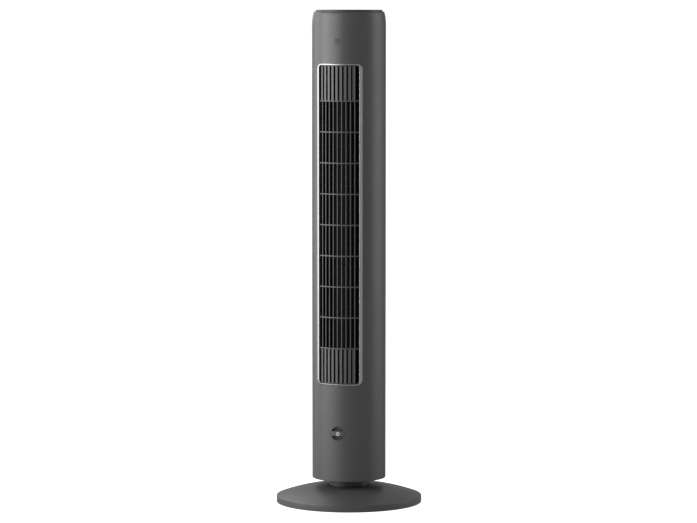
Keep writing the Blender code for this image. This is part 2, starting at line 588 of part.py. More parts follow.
def make_front(finishes, tower):
    grey = finishes["body"]
    front = add_object("front_housing", half_shell(front=True), grey, tower)
    window = window_cutter(TRIM_HALF_W + GAP, TRIM_HALF_H + GAP, TRIM_CORNER_R + GAP, -1)
    cut(front, window, "outlet")
    cut(front, along_y(prism(circle(DRAWER_R + 0.5 * MM, 32), 60 * MM, 95 * MM), (0, 0, DRAWER_Z)), "drawer_hole")
    holes = [(0.0, 0.0)] + circle(5.1 * MM, 6, phase=math.radians(0))
    for i, (x, z) in enumerate(holes):
        cut(front, along_y(prism(circle(1.1 * MM, 8, (x, z)), 60 * MM, 95 * MM), (0, 0, 984.3 * MM)), f"sound_hole_{i}")
    sounder = [(0, 70.5), (11, 70.5), (11, 75.2), (0, 75.2)]
    add_object("sounder", along_y(turned([(r * MM, z * MM) for r, z in sounder], 24), (0, 0, 984.3 * MM)), finishes["inner"], tower)

    steps = {"corner_steps": 3, "side_steps": 1, "top_steps": 8}
    outer = rounded_rectangle(TRIM_HALF_W, TRIM_HALF_H, TRIM_CORNER_R, **steps)
    inner = rounded_rectangle(TRIM_HALF_W - TRIM_SIDE, TRIM_HALF_H - TRIM_END, TRIM_INNER_CORNER, **steps)
    ridge = [((a[0] + b[0]) / 2, (a[1] + b[1]) / 2) for a, b in zip(outer, inner)]
    front_r, back_r = BODY_R, BODY_R - TRIM_DEPTH
    loops = [(outer, back_r), (outer, front_r), (ridge, front_r + TRIM_PROUD), (inner, front_r), (inner, back_r)]
    bm = bmesh.new()
    rings = []
    for path, r in loops:
        rings.append([bm.verts.new((x, -math.sqrt(r * r - x * x), WINDOW_Z + z)) for x, z in path])
    count = len(outer)
    for a, b in zip(rings, rings[1:] + rings[:1]):
        for i in range(count):
            bm.faces.new([a[i], a[(i + 1) % count], b[(i + 1) % count], b[i]])
    add_object("outlet_trim", bm, finishes["silver"], tower)

    half_w, half_h = TRIM_HALF_W - TRIM_SIDE - GRILLE_GAP, TRIM_HALF_H - TRIM_END - GRILLE_GAP
    edge = math.asin(half_w / GRILLE_FRONT_R)
    frame = GRILLE_FRAME / GRILLE_FRONT_R
    slat = SLAT_WIDTH / GRILLE_FRONT_R
    rib = RIB_WIDTH / GRILLE_FRONT_R
    angles, columns = [-edge, frame - edge], ["frame"]
    for k in range(SLATS):
        a = (k - (SLATS - 1) / 2) * SLAT_PITCH
        angles += [a + slat / 2 - rib, a - slat / 2, a + slat / 2]
        columns += ["gap", "rib", "slat"]
    angles += [edge - frame, edge]
    columns += ["gap", "frame"]
    angles = [a - math.pi / 2 for a in angles]
    heights = [WINDOW_Z - half_h, WINDOW_Z - half_h + GRILLE_FRAME]
    for k in range(BARS):
        z = WINDOW_Z + (k - (BARS - 1) / 2) * BAR_PITCH
        heights += [z - BAR_HEIGHT / 2, z + BAR_HEIGHT / 2]
    heights += [WINDOW_Z + half_h - GRILLE_FRAME, WINDOW_Z + half_h]

    def solid(i, j):
        # Even rows are bars. The lowest and the highest row of openings have wide ribs beside the slats.
        if j % 2 == 0 or columns[i] in ("frame", "slat"):
            return True
        return columns[i] == "rib" and j in (1, len(heights) - 3)

    bm = slotted_shell(angles, heights, solid, GRILLE_BACK_R, GRILLE_FRONT_R)
    grille = add_object("outlet_grille", bm, grey, tower)
    corner = TRIM_INNER_CORNER - GRILLE_GAP
    boolean(grille, window_cutter(half_w, half_h, corner, -1), "INTERSECT", "round_grille_corners")


def make_rear(finishes, tower):
    grey = finishes["body"]
    rear = add_object("rear_housing", half_shell(front=False), grey, tower)
    half_w = BODY_R * math.sin(INTAKE_HALF_ANGLE + math.radians(0.4))
    cut(rear, window_cutter(half_w, INTAKE_HALF_H + GAP, 0.6 * MM, 1), "intake")
    gland_z = 92 * MM
    cut(rear, along_y(prism(circle(6 * MM, 14), -95 * MM, -60 * MM), (0, 0, gland_z)), "gland_hole")
    gland = [(3.4, -84), (5.2, -84), (9, -81), (9, -78.9), (5.7, -78.9), (5.7, -75.6), (8, -75.6), (8, -72), (3.4, -72)]
    add_object("cord_gland", along_y(turned([(r * MM, z * MM) for r, z in gland], 14), (0, 0, gland_z)), finishes["rubber"], tower)

    handle_z = 985 * MM
    outline = rounded_rectangle(42 * MM, 15 * MM, 9 * MM)
    opening = along_y(prism([(x, z) for x, z in outline], 55 * MM, 95 * MM), (0, 0, handle_z))
    opening.transform(Matrix.Rotation(math.pi, 4, "Z"))
    cut(rear, opening, "handle_hole")
    cup_out = rounded_rectangle(44.5 * MM, 17.5 * MM, 10 * MM)
    cup = along_y(prism(cup_out, 42 * MM, 60.5 * MM), (0, 0, handle_z))
    cup.transform(Matrix.Rotation(math.pi, 4, "Z"))
    handle = add_object("handle_cup", cup, finishes["inner"], tower)
    hollow = along_y(prism(outline, 44.5 * MM, 90 * MM), (0, 0, handle_z))
    hollow.transform(Matrix.Rotation(math.pi, 4, "Z"))
    cut(handle, hollow, "handle_hollow")

    step = (2 * INTAKE_HALF_ANGLE - 2 * INTAKE_FRAME_ANGLE - INTAKE_SLATS * INTAKE_SLAT_ANGLE) / (INTAKE_SLATS + 1)
    angles = [math.pi / 2 - INTAKE_HALF_ANGLE]
    angles.append(angles[-1] + INTAKE_FRAME_ANGLE)
    for _ in range(INTAKE_SLATS):
        angles.append(angles[-1] + step)
        angles.append(angles[-1] + INTAKE_SLAT_ANGLE)
    angles.append(angles[-1] + step)
    angles.append(angles[-1] + INTAKE_FRAME_ANGLE)
    heights = [WINDOW_Z - INTAKE_HALF_H, WINDOW_Z - INTAKE_HALF_H + INTAKE_FRAME_H]
    bay = (2 * INTAKE_HALF_H - 2 * INTAKE_FRAME_H - INTAKE_BARS * INTAKE_BAR_HEIGHT) / (INTAKE_BARS + 1)
    for _ in range(INTAKE_BARS):
        heights.append(heights[-1] + bay)
        heights.append(heights[-1] + INTAKE_BAR_HEIGHT)
    heights.append(heights[-1] + bay)
    heights.append(heights[-1] + INTAKE_FRAME_H)
    cover = slotted_shell(angles, heights, lambda i, j: i % 2 == 0 or j % 2 == 0, INTAKE_BACK_R, INTAKE_FRONT_R)
    add_object("intake_grille", cover, finishes["inner"], tower)


def make_top(finishes, tower, key_groups):
    black, gloss = finishes["inner"], finishes["panel"]
    tray = [(0, 1026), (72.4, 1026), (72.4, 1016), (74.8, 1016), (74.8, 1029), (71, 1031)]
    tray += [(71, 1044.1), (68.6, 1044.1), (68.6, 1028), (0, 1028)]
    top_tray = add_object("top_tray", turned([(r * MM, z * MM) for r, z in tray], 40), black, tower)
    cut(top_tray, prism(circle(2.6 * MM, 10, LEAD_TOP), 1020 * MM, 1032 * MM), "lead_hole")
    cap = [(0, PANEL_BOTTOM), (PANEL_R, PANEL_BOTTOM), (PANEL_R, TOTAL_HEIGHT - 1 * MM), (PANEL_R - 1 * MM, TOTAL_HEIGHT)]
    cap += [(0, TOTAL_HEIGHT)]
    panel = add_object("control_panel", turned(cap, 40), gloss, tower)
    board = add_object("control_board", prism(circle(64 * MM, 32), BOARD_Z, BOARD_Z + 1.6 * MM), finishes["board"], tower)
    for name, (x, y, radius, group) in key_groups.items():
        cut(panel, prism(circle(radius + 0.5 * MM, 14, (x, y)), PANEL_BOTTOM - 4 * MM, TOTAL_HEIGHT + 4 * MM), name + "_hole")
        switch = box((x - 3 * MM, y - 3 * MM, BOARD_Z + 1 * MM), (x + 3 * MM, y + 3 * MM, BOARD_Z + 5.4 * MM))
        join(board, switch, name + "_switch")
        flange = radius + 1.4 * MM
        key = [(0, BOARD_Z + 6.6 * MM), (3 * MM, BOARD_Z + 6.6 * MM), (3 * MM, PANEL_BOTTOM - 1.5 * MM)]
        key += [(flange, PANEL_BOTTOM - 1.5 * MM), (flange, PANEL_BOTTOM - GAP), (radius, PANEL_BOTTOM - GAP)]
        key += [(radius, KEY_TOP - 0.5 * MM), (radius - 0.5 * MM, KEY_TOP), (0, KEY_TOP)]
        add_object(name, turned(key, 14, (x, y)), finishes["key"], group)


def make_fasteners(finishes, tower):
    """Screws that pull the rear shell onto the turntable's rim and the top tray's rim."""
    rear = bpy.data.objects["rear_housing"]
    seat = BODY_R - 1.5 * MM
    for level, height, rim in (("low", 69 * MM, "turntable"), ("high", 1021 * MM, "top_tray")):
        for side, angle in (("left", math.radians(90 + 42)), ("right", math.radians(90 - 42))):
            place = f"{level}_{side}"
            cut(rear, radial(prism(circle(3.7 * MM, 10), seat, BODY_R + 9 * MM), angle, height), "head_" + place)
            for held in (rear, bpy.data.objects[rim]):
                hole = radial(prism(circle(1.8 * MM, 8), seat - 10 * MM, seat + 2 * MM), angle, height)
                cut(held, hole, f"hole_{place}_{held.name}")
            low = seat + GAP
            screw = [(0, low - 9 * MM), (1.4 * MM, low - 8.4 * MM), (1.4 * MM, low), (3.3 * MM, low)]
            screw += [(3.3 * MM, low + 0.4 * MM), (2.3 * MM, low + 0.9 * MM), (0, low + 0.9 * MM)]
            add_object(f"housing_screw_{place}", radial(turned(screw, 8), angle, height), finishes["zinc"], tower)


def make_harness(finishes, tower):
    """The lead from the power board up to the control board, held against the inside of the housing."""
    way = [(41.5, 44, 150), (52, 38, 152), (60, 29, 160), (63.9, 23.3, 178), (63.9, 23.3, 240), (63.9, 23.3, 600)]
    way += [(63.9, 23.3, 940), (63.9, 23.3, 1000), (59, 21, 1016), (55, 20, 1022), (55, 20, 1027.8)]
    curve = bpy.data.curves.new("panel_harness", "CURVE")
    curve.dimensions = "3D"
    curve.bevel_depth = 1.8 * MM
    curve.bevel_resolution = 2
    curve.use_fill_caps = True
    line = curve.splines.new("POLY")
    line.points.add(len(way) - 1)
    for point, place in zip(line.points, way):
        point.co = (*(c * MM for c in place), 1)
    harness = bpy.data.objects.new("panel_harness", curve)
    bpy.context.scene.collection.objects.link(harness)
    curve.materials.append(finishes["rubber"])
    harness.parent = tower
    harness.matrix_parent_inverse = tower.matrix_world.inverted()


def main():
    clear_scene()
    finishes = {
        "body": material("warm_dark_grey_plastic", (0.085, 0.085, 0.085), 0.42),
        "inner": material("black_plastic", (0.02, 0.02, 0.02), 0.5),
        "wheel": material("black_nylon", (0.015, 0.015, 0.015), 0.5),
        "steel": material("steel", (0.45, 0.45, 0.46), 0.35, 1.0),
        "zinc": material("zinc_plated_steel", (0.55, 0.55, 0.53), 0.3, 1.0),
        "silver": material("satin_silver_trim", (0.75, 0.75, 0.76), 0.25, 1.0),
        "rubber": material("black_rubber", (0.015, 0.015, 0.015), 0.8),
        "pom": material("white_acetal", (0.8, 0.8, 0.76), 0.4),
        "board": material("circuit_board", (0.02, 0.12, 0.05), 0.5),
        "felt": material("scent_felt", (0.75, 0.73, 0.68), 0.95),
        "panel": material("gloss_black_panel", (0.01, 0.01, 0.012), 0.12),
        "key": material("satin_black_key", (0.02, 0.02, 0.022), 0.35),
    }
    tower = joint_group("tower_pivot", (0, 0, BODY_BOTTOM))
    wheel = joint_group("wheel_axis", (0, WHEEL_Y, WHEEL_BOTTOM))
    pinion = joint_group("pinion_axis", (0, GEAR_CENTRES, GEAR_BOTTOM))
    drawer = joint_group("drawer_axis", (0, -BODY_R, DRAWER_Z))
    for group in (wheel, pinion, drawer):
        group.parent = tower
        group.matrix_parent_inverse = tower.matrix_world.inverted()
    bpy.context.view_layer.update()
    keys = {"key_power": (0.0, 0.0, POWER_KEY_R)}
    for name, degrees in (("key_timer", -135), ("key_speed", -105), ("key_swing", -75), ("key_mode", -45)):
        a = math.radians(degrees)
        keys[name] = (KEY_RING_R * math.cos(a), KEY_RING_R * math.sin(a), KEY_R)
    key_groups = {}
    for name, (x, y, radius) in keys.items():
        group = joint_group(name + "_axis", (x, y, KEY_TOP))
        group.parent = tower
        group.matrix_parent_inverse = tower.matrix_world.inverted()
        key_groups[name] = (x, y, radius, group)
    bpy.context.view_layer.update()

    make_base(finishes)
    make_lower_tower(finishes, tower)
    make_drawer(finishes, tower, drawer)
    make_air_path(finishes, tower)
    make_wheel(finishes, wheel)
    make_pinion(finishes, pinion)
    make_front(finishes, tower)
    make_rear(finishes, tower)
    make_top(finishes, tower, key_groups)
    make_fasteners(finishes, tower)
    make_harness(finishes, tower)


main()
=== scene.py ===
"""Tower fan: the looks of every piece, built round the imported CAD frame, with floor, light and camera."""

import math

import bmesh
import bpy
import numpy as np
from mathutils import Matrix, Vector


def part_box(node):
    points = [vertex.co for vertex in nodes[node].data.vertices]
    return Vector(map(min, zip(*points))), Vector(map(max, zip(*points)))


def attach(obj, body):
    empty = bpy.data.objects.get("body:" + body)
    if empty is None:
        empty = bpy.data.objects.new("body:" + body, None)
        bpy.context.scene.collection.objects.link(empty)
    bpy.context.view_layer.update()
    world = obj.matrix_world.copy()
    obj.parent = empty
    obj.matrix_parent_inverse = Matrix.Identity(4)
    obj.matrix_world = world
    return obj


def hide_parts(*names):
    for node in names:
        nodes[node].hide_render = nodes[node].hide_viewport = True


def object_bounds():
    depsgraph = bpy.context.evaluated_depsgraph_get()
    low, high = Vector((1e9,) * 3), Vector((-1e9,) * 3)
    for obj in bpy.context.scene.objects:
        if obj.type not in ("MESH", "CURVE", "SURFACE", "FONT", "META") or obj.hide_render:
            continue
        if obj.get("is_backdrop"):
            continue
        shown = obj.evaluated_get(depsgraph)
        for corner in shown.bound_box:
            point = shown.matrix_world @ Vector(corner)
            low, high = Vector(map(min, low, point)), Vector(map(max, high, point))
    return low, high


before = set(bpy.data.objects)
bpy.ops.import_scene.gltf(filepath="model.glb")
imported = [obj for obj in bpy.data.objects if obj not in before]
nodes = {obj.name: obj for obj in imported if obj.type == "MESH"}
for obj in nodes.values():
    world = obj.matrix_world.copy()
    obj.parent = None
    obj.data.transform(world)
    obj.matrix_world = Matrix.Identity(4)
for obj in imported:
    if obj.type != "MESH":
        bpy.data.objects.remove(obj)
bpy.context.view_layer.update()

# ---- Rubber feet -------------------------------------------------------------------------------
# Five soft feet pressed through holes in the base plate: black moulded rubber, turned in shape, with
# a barb that holds each one from above. They carry the fan and keep its rim off the floor.

MM = 0.001
FULL_TURN = 2 * math.pi
AXIS_OFFSET = 0.001  # radius of the path that a turned profile is swept round
FLECK_SIZE = 0.35  # of the flecks in a paint, in millimetres


def node(tree, kind, feeds=(), **settings):
    """Adds a node, with its settings, and feeds its inputs from values or from other nodes' outputs."""
    made = tree.nodes.new(kind)
    for key, value in settings.items():
        setattr(made, key, value)
    for socket, feed in dict(feeds).items():
        if isinstance(feed, bpy.types.NodeSocket):
            tree.links.new(feed, made.inputs[socket])
        else:
            made.inputs[socket].default_value = feed
    return made


def maths(tree, operation, *feeds):
    """The result of one sum on numbers or sockets."""
    return node(tree, "ShaderNodeMath", enumerate(feeds), operation=operation).outputs[0]


def shape(tree, kind, feeds=(), **settings):
    """The first result of a Geometry Nodes node."""
    return node(tree, "GeometryNode" + kind, feeds, **settings).outputs[0]


def xyz(tree, **axes):
    """A vector made of numbers or sockets."""
    return node(tree, "ShaderNodeCombineXYZ", axes).outputs[0]


def new_piece(name, mesh):
    piece = bpy.data.objects.new(name, mesh)
    bpy.context.scene.collection.objects.link(piece)
    return piece


def geometry_tree(name, sizes):
    """A Geometry Nodes tree with a mesh input, a material input and one named input for each size."""
    tree = bpy.data.node_groups.new(name, "GeometryNodeTree")
    face = tree.interface
    face.new_socket("Mesh", in_out="INPUT", socket_type="NodeSocketGeometry")
    face.new_socket("Material", in_out="INPUT", socket_type="NodeSocketMaterial")
    for label, kind in sizes.items():
        face.new_socket(label, in_out="INPUT", socket_type="NodeSocket" + kind)
    face.new_socket("Mesh", in_out="OUTPUT", socket_type="NodeSocketGeometry")
    return tree, tree.nodes.new("NodeGroupInput").outputs


def end_tree(tree, geometry, material):
    """Closes a tree: instances made real, doubles merged, material set."""
    real = shape(tree, "RealizeInstances", {"Geometry": geometry})
    merged = shape(tree, "MergeByDistance", {"Geometry": real, "Distance": 2e-6})
    painted = shape(tree, "SetMaterial", {"Geometry": merged, "Material": material})
    node(tree, "NodeGroupOutput", {"Mesh": painted})


def settle(piece):
    """Keeps what an object's modifiers make of it as its plain mesh."""
    made = bpy.data.meshes.new_from_object(piece.evaluated_get(bpy.context.evaluated_depsgraph_get()))
    piece.modifiers.clear()
    piece.data = made
    return piece


def outward(piece):
    """Merges doubles and points every face outwards."""
    bm = bmesh.new()
    bm.from_mesh(piece.data)
    bmesh.ops.remove_doubles(bm, verts=bm.verts, dist=1e-6)
    bmesh.ops.recalc_face_normals(bm, faces=bm.faces)
    bm.to_mesh(piece.data)
    bm.free()
    return piece


def smooth(piece, angle=32, even=True):
    """Shades a piece smoothly but keeps its edges, with flat faces kept flat beside rounded ones."""
    piece.data.shade_smooth()
    piece.data.set_sharp_from_angle(angle=math.radians(angle))
    if even:
        piece.modifiers.new("flat_faces", "WEIGHTED_NORMAL").keep_sharp = True
    return piece


def grow(name, tree, material, source=None, **sizes):
    """Runs a Geometry Nodes tree on a mesh and keeps the result as a new piece's plain mesh."""
    piece = new_piece(name, source or bpy.data.meshes.new(name))
    maker = piece.modifiers.new("maker", "NODES")
    maker.node_group = tree
    for item in tree.interface.items_tree:
        if item.in_out == "INPUT" and item.name == "Material":
            maker[item.identifier] = material
        elif item.in_out == "INPUT" and item.name.lower().replace(" ", "_") in sizes:
            maker[item.identifier] = sizes[item.name.lower().replace(" ", "_")]
    settle(piece).data.materials.clear()
    piece.data.materials.append(material)
    piece.data.polygons.foreach_set("material_index", [0] * len(piece.data.polygons))
    return outward(piece)


def hand_over(piece, body, slot, *cad_nodes):
    """The piece rides on a body and stands for these CAD nodes, which it hides."""
    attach(piece, body)
    if cad_nodes:
        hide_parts(*cad_nodes)
    return piece


def rounded_path(corners, steps=5):
    """A closed path through (u, v, radius) corners, each rounded by an arc of that radius."""
    path = []
    for i, (u, v, radius) in enumerate(corners):
        here = Vector((u, v))
        if not radius:
            path.append(tuple(here))
            continue
        back = (Vector(corners[i - 1][:2]) - here).normalized()
        ahead = (Vector(corners[(i + 1) % len(corners)][:2]) - here).normalized()
        half = back.angle(ahead) / 2
        reach = radius / math.tan(half)
        centre = here + (back + ahead).normalized() * (radius / math.sin(half))
        start, end = here + back * reach - centre, here + ahead * reach - centre
        turn = start.angle_signed(end)
        path += [tuple(centre + Matrix.Rotation(-turn * k / steps, 2) @ start) for k in range(steps + 1)]
    return path


def arc_path_of(tree, given):
    """The part of a circle about the upright axis between the tree's start and sweep angles."""
    angles = {"Start Angle": given["Start"], "Sweep Angle": given["Sweep"]}
    return shape(tree, "CurveArc", {"Resolution": given["Steps"], "Radius": AXIS_OFFSET, **angles})


def swept(tree, path, profile_mesh):
    """Sweeps a profile along a path, kept upright and with its ends closed."""
    profile = shape(tree, "MeshToCurve", {"Mesh": profile_mesh})
    upright = shape(tree, "SetCurveNormal", {"Curve": path}, mode="Z_UP")
    return shape(tree, "CurveToMesh", {"Curve": upright, "Profile Curve": profile, "Fill Caps": True})


turned, given = geometry_tree(
    "turned_ring",
    {"Steps": "Int", "Start": "Float", "Sweep": "Float", "Count": "Int", "Ring": "Float", "First": "Float"},
)
whole_circle = shape(turned, "CurvePrimitiveCircle", {"Resolution": given["Steps"], "Radius": AXIS_OFFSET})
is_part = node(
    turned, "FunctionNodeCompare", {0: given["Sweep"], 1: FULL_TURN - 0.001}, operation="LESS_THAN"
).outputs[0]
choices = {"Switch": is_part, "False": whole_circle, "True": arc_path_of(turned, given)}
path = shape(turned, "Switch", choices, input_type="GEOMETRY")
spots = shape(turned, "MeshLine", {"Count": given["Count"], "Offset": (0, 0, 0)}, mode="OFFSET")
turn_each = maths(turned, "DIVIDE", FULL_TURN, given["Count"])
bearing = maths(turned, "MULTIPLY", shape(turned, "InputIndex"), turn_each)
bearing = maths(turned, "ADD", bearing, given["First"])
spot = xyz(
    turned,
    X=maths(turned, "MULTIPLY", maths(turned, "COSINE", bearing), given["Ring"]),
    Y=maths(turned, "MULTIPLY", maths(turned, "SINE", bearing), given["Ring"]),
)
placed = shape(turned, "SetPosition", {"Geometry": spots, "Position": spot})
one = swept(turned, path, given["Mesh"])
end_tree(turned, shape(turned, "InstanceOnPoints", {"Points": placed, "Instance": one}), given["Material"])


def outline_mesh(name, points, closed=True):
    """A mesh of edges through flat points, for a tree to sweep."""
    mesh = bpy.data.meshes.new(name)
    edges = [(i, (i + 1) % len(points)) for i in range(len(points) if closed else len(points) - 1)]
    mesh.from_pydata([(*point, 0) for point in points], edges, [])
    return mesh


def upright_profile(name, corners, rounding, closed=True):
    """The profile through (radius, height, edge radius) corners in millimetres, laid ready to sweep."""
    path = rounded_path([(r * MM, z * MM, edge * MM) for r, z, edge in corners], rounding)
    return outline_mesh(name, [(r - AXIS_OFFSET, -z) for r, z in path], closed)


def turn(name, corners, material, steps=96, rounding=5, start=0.0, sweep=FULL_TURN, **ring):
    """A turned piece from (radius, height, edge radius) corners in millimetres.

    With count, ring (a radius in metres) and first (a bearing) it is a ring of like pieces.
    """
    profile = upright_profile(name, corners, rounding, closed=bool(corners[0][0] or corners[-1][0]))
    sizes = {"count": 1, "ring": 0.0, "first": 0.0, **ring}
    return grow(name, turned, material, profile, steps=steps, start=start, sweep=sweep, **sizes)


def moulded(
    name, colour, roughness, metallic=0.0, grain=0.5, relief=0.012, fleck=0.0, drift=0.06, coat=0.0
):
    """A moulded, painted or drawn surface: fine grain in relief, flecks, and tone and gloss that drift.

    grain and relief are in millimetres; fleck and drift are shares of the colour.
    """
    made = bpy.data.materials.new(name)
    made.use_nodes = True
    tree = made.node_tree
    shader = tree.nodes["Principled BSDF"]
    where = node(tree, "ShaderNodeTexCoord").outputs["Object"]
    clouds = {"Vector": where, "Scale": 14.0, "Detail": 4.0, "Roughness": 0.6}
    slow = node(tree, "ShaderNodeTexNoise", clouds).outputs["Fac"]
    fine = node(tree, "ShaderNodeTexNoise", {"Vector": where, "Scale": 1 / (grain * MM), "Detail": 2.0})
    sparks = node(tree, "ShaderNodeTexVoronoi", {"Vector": where, "Scale": 1 / (FLECK_SIZE * MM)})
    dots = node(tree, "ShaderNodeMapRange", {"Value": sparks.outputs["Distance"], "From Max": 0.6})
    share = {"Value": dots.outputs[0], "To Min": 1.0 if fleck else 0.0, "To Max": 0.0}
    spark_share = node(tree, "ShaderNodeMapRange", share).outputs[0]
    dark, light = ([c * (1 + s * drift) for c in colour] + [1.0] for s in (-1, 1))
    tone = node(tree, "ShaderNodeMixRGB", {"Fac": slow, "Color1": dark, "Color2": light}).outputs[0]
    bright = [min(1.0, c * (1 + fleck)) for c in colour] + [1.0]
    paint = node(tree, "ShaderNodeMixRGB", {"Fac": spark_share, "Color1": tone, "Color2": bright})
    tree.links.new(paint.outputs[0], shader.inputs["Base Color"])
    gloss_range = {"From Min": 0.3, "From Max": 0.7, "To Min": roughness * 0.93, "To Max": roughness * 1.07}
    gloss = node(tree, "ShaderNodeMapRange", {"Value": slow, **gloss_range})
    tree.links.new(gloss.outputs[0], shader.inputs["Roughness"])
    raised = {"Height": fine.outputs["Fac"], "Distance": relief * MM, "Strength": 1.0}
    bump = node(tree, "ShaderNodeBump", raised)
    tree.links.new(bump.outputs[0], shader.inputs["Normal"])
    shader.inputs["Metallic"].default_value = metallic
    shader.inputs["Coat Weight"].default_value = coat
    shader.inputs["Coat Roughness"].default_value = 0.08
    return made


FOOT_RING = 138
FOOT_CORNERS = [
    (0, 0, 0), (8.4, 0, 0.5), (9, 0.6, 0.2), (9, 1.8, 0.2), (2.7, 1.8, 0.1), (2.7, 4.8, 0.1),
    (3.4, 5.1, 0.15), (2.2, 6.3, 0.3), (0, 6.3, 0),
]
rubber = moulded("foot_rubber", (0.016, 0.016, 0.017), 0.78, grain=0.3, relief=0.02, drift=0.15)
feet_ring = {"count": 5, "ring": FOOT_RING * MM, "first": math.radians(30)}
feet = turn("rubber_feet", FOOT_CORNERS, rubber, 40, 4, **feet_ring)
hand_over(smooth(feet), "base", "black_rubber", "foot_1", "foot_2", "foot_3", "foot_4", "foot_5")

# ---- Base plate and its screws -----------------------------------------------------------------
# A flat injection-moulded disc closes the base from below. Grooves stiffen it, and three zinc-plated
# cross-head screws draw it up against the bosses of the cover.

PLATE_LOW = 2.1
PLATE_HIGH = 4.4
PLATE_R = 151.9
PLATE_SCREW_RING = 135
PLATE_SCREW_SEAT = 1.8
black_plastic = moulded("black_moulded_plastic", (0.022, 0.022, 0.023), 0.5, grain=0.6, relief=0.02)
plate_corners = [(0, PLATE_LOW, 0)]
for groove in (40, 74, 108):
    plate_corners += [
        (groove, PLATE_LOW, 0.3), (groove + 0.8, PLATE_LOW + 0.9, 0.3),
        (groove + 4.2, PLATE_LOW + 0.9, 0.3), (groove + 5, PLATE_LOW, 0.3),
    ]
plate_corners += [(PLATE_R, PLATE_LOW, 0.5), (PLATE_R, PLATE_HIGH, 0.4), (0, PLATE_HIGH, 0)]
base_plate = turn("base_plate_skin", plate_corners, black_plastic, 192, 3)
hand_over(smooth(base_plate), "base", "black_plastic", "base_plate")

sizes = {"Head": "Float", "Rise": "Float", "Shank": "Float", "Length": "Float"}
screw_tree, given = geometry_tree("screws", sizes)


def combine(solid, others, operation):
    """A solid with others cut from it or added to it, or only what it shares with them."""
    first, rest = ("Mesh 1", "Mesh 2") if operation == "DIFFERENCE" else ("Mesh", "Mesh")
    made = node(screw_tree, "GeometryNodeMeshBoolean", {first: solid}, operation=operation, solver="EXACT")
    for other in others:
        screw_tree.links.new(other, made.inputs[rest])
    return made.outputs[0]


flat = xyz(screw_tree, X=1.0, Y=1.0, Z=maths(screw_tree, "DIVIDE", given["Rise"], given["Head"]))
ball = shape(screw_tree, "MeshUVSphere", {"Segments": 32, "Rings": 24, "Radius": given["Head"]})
dome = shape(screw_tree, "Transform", {"Geometry": ball, "Scale": flat})
above = shape(screw_tree, "MeshCube", {"Size": (0.04, 0.04, 0.04)})
above = shape(screw_tree, "Transform", {"Geometry": above, "Translation": (0, 0, 0.02)})
arm = maths(screw_tree, "MULTIPLY", given["Head"], 1.15)
slot_width = maths(screw_tree, "MULTIPLY", given["Head"], 0.26)
slot_depth = maths(screw_tree, "MULTIPLY", given["Rise"], 1.3)
blades = []
for x, y in ((arm, slot_width), (slot_width, arm)):
    blade = shape(screw_tree, "MeshCube", {"Size": xyz(screw_tree, X=x, Y=y, Z=slot_depth)})
    lifted = {"Geometry": blade, "Translation": xyz(screw_tree, Z=given["Rise"])}
    blades.append(shape(screw_tree, "Transform", lifted))
head = combine(combine(dome, [above], "INTERSECT"), blades, "DIFFERENCE")
rod = {"Vertices": 20, "Radius": given["Shank"], "Depth": given["Length"]}
sink = xyz(screw_tree, Z=maths(screw_tree, "MULTIPLY", given["Length"], -0.5))
sunk = {"Geometry": shape(screw_tree, "MeshCylinder", rod), "Translation": sink}
solid = combine(head, [shape(screw_tree, "Transform", sunk)], "UNION")
facing = shape(screw_tree, "InputNamedAttribute", {"Name": "facing"}, data_type="FLOAT_VECTOR")
aim = node(screw_tree, "FunctionNodeAlignRotationToVector", {"Vector": facing}, axis="Z").outputs[0]
fixed = {"Points": given["Mesh"], "Instance": solid, "Rotation": aim}
end_tree(screw_tree, shape(screw_tree, "InstanceOnPoints", fixed), given["Material"])
zinc = moulded("screw_zinc", (0.56, 0.56, 0.54), 0.32, 1.0, grain=0.8, relief=0.008, drift=0.12)


def screws(name, spots, head, rise, shank, length):
    """Cross-head screws seated at (place, outward direction) spots; sizes in millimetres."""
    mesh = bpy.data.meshes.new(name)
    mesh.from_pydata([place for place, _ in spots], [], [])
    facing = mesh.attributes.new("facing", "FLOAT_VECTOR", "POINT")
    facing.data.foreach_set("vector", [c for _, direction in spots for c in direction])
    sizes = {"head": head * MM, "rise": rise * MM, "shank": shank * MM, "length": length * MM}
    return smooth(grow(name, screw_tree, zinc, mesh, **sizes), 40, even=False)


spots = []
for i in range(3):
    a = math.radians(90 + 120 * i)
    x, y = PLATE_SCREW_RING * MM * math.cos(a), PLATE_SCREW_RING * MM * math.sin(a)
    spots.append(((x, y, PLATE_SCREW_SEAT * MM), (0, 0, -1)))
plate_screws = screws("plate_screws", spots, 3.4, 1.4, 1.4, 11)
hand_over(plate_screws, "base", "zinc_plated_steel", "plate_screw_1", "plate_screw_2", "plate_screw_3")

# ---- Ballast ring ------------------------------------------------------------------------------
# A flat steel ring lies loose on the plate, closed in by the cover. Its weight keeps the tall tower
# from tipping. It is out of sight.


def refinish(material, *names):
    """Gives CAD nodes that keep their shape a worked finish."""
    for name in names:
        for holder in nodes[name].material_slots:
            holder.material = material


mill_steel = moulded("mill_finish_steel", (0.42, 0.42, 0.43), 0.42, 1.0, grain=0.9, relief=0.02, drift=0.2)
refinish(mill_steel, "ballast_ring")

# ---- Base cover --------------------------------------------------------------------------------
# A low dome with an upright rim, moulded in one and painted in a fine dark grey with a faint metal
# grain. It falls slowly from the neck and ever faster towards the rim, like the tower's own paint.

NECK_HOLE = 44.3
DOME_TOP = 38.0
DOME_FALL = 22.5
DOME_REACH = 108.7
DOME_POWER = 1.75
BASE_RADIUS = 155.0
DOME_RIM = 152
RIM_LOW = 0.8
RIM_IN = 152.5
COVER_WALL = 2.5
LINING_R = 150.6


def dome_height(r, drop=0.0):
    return DOME_TOP - drop - DOME_FALL * ((r - NECK_HOLE) / DOME_REACH) ** DOME_POWER


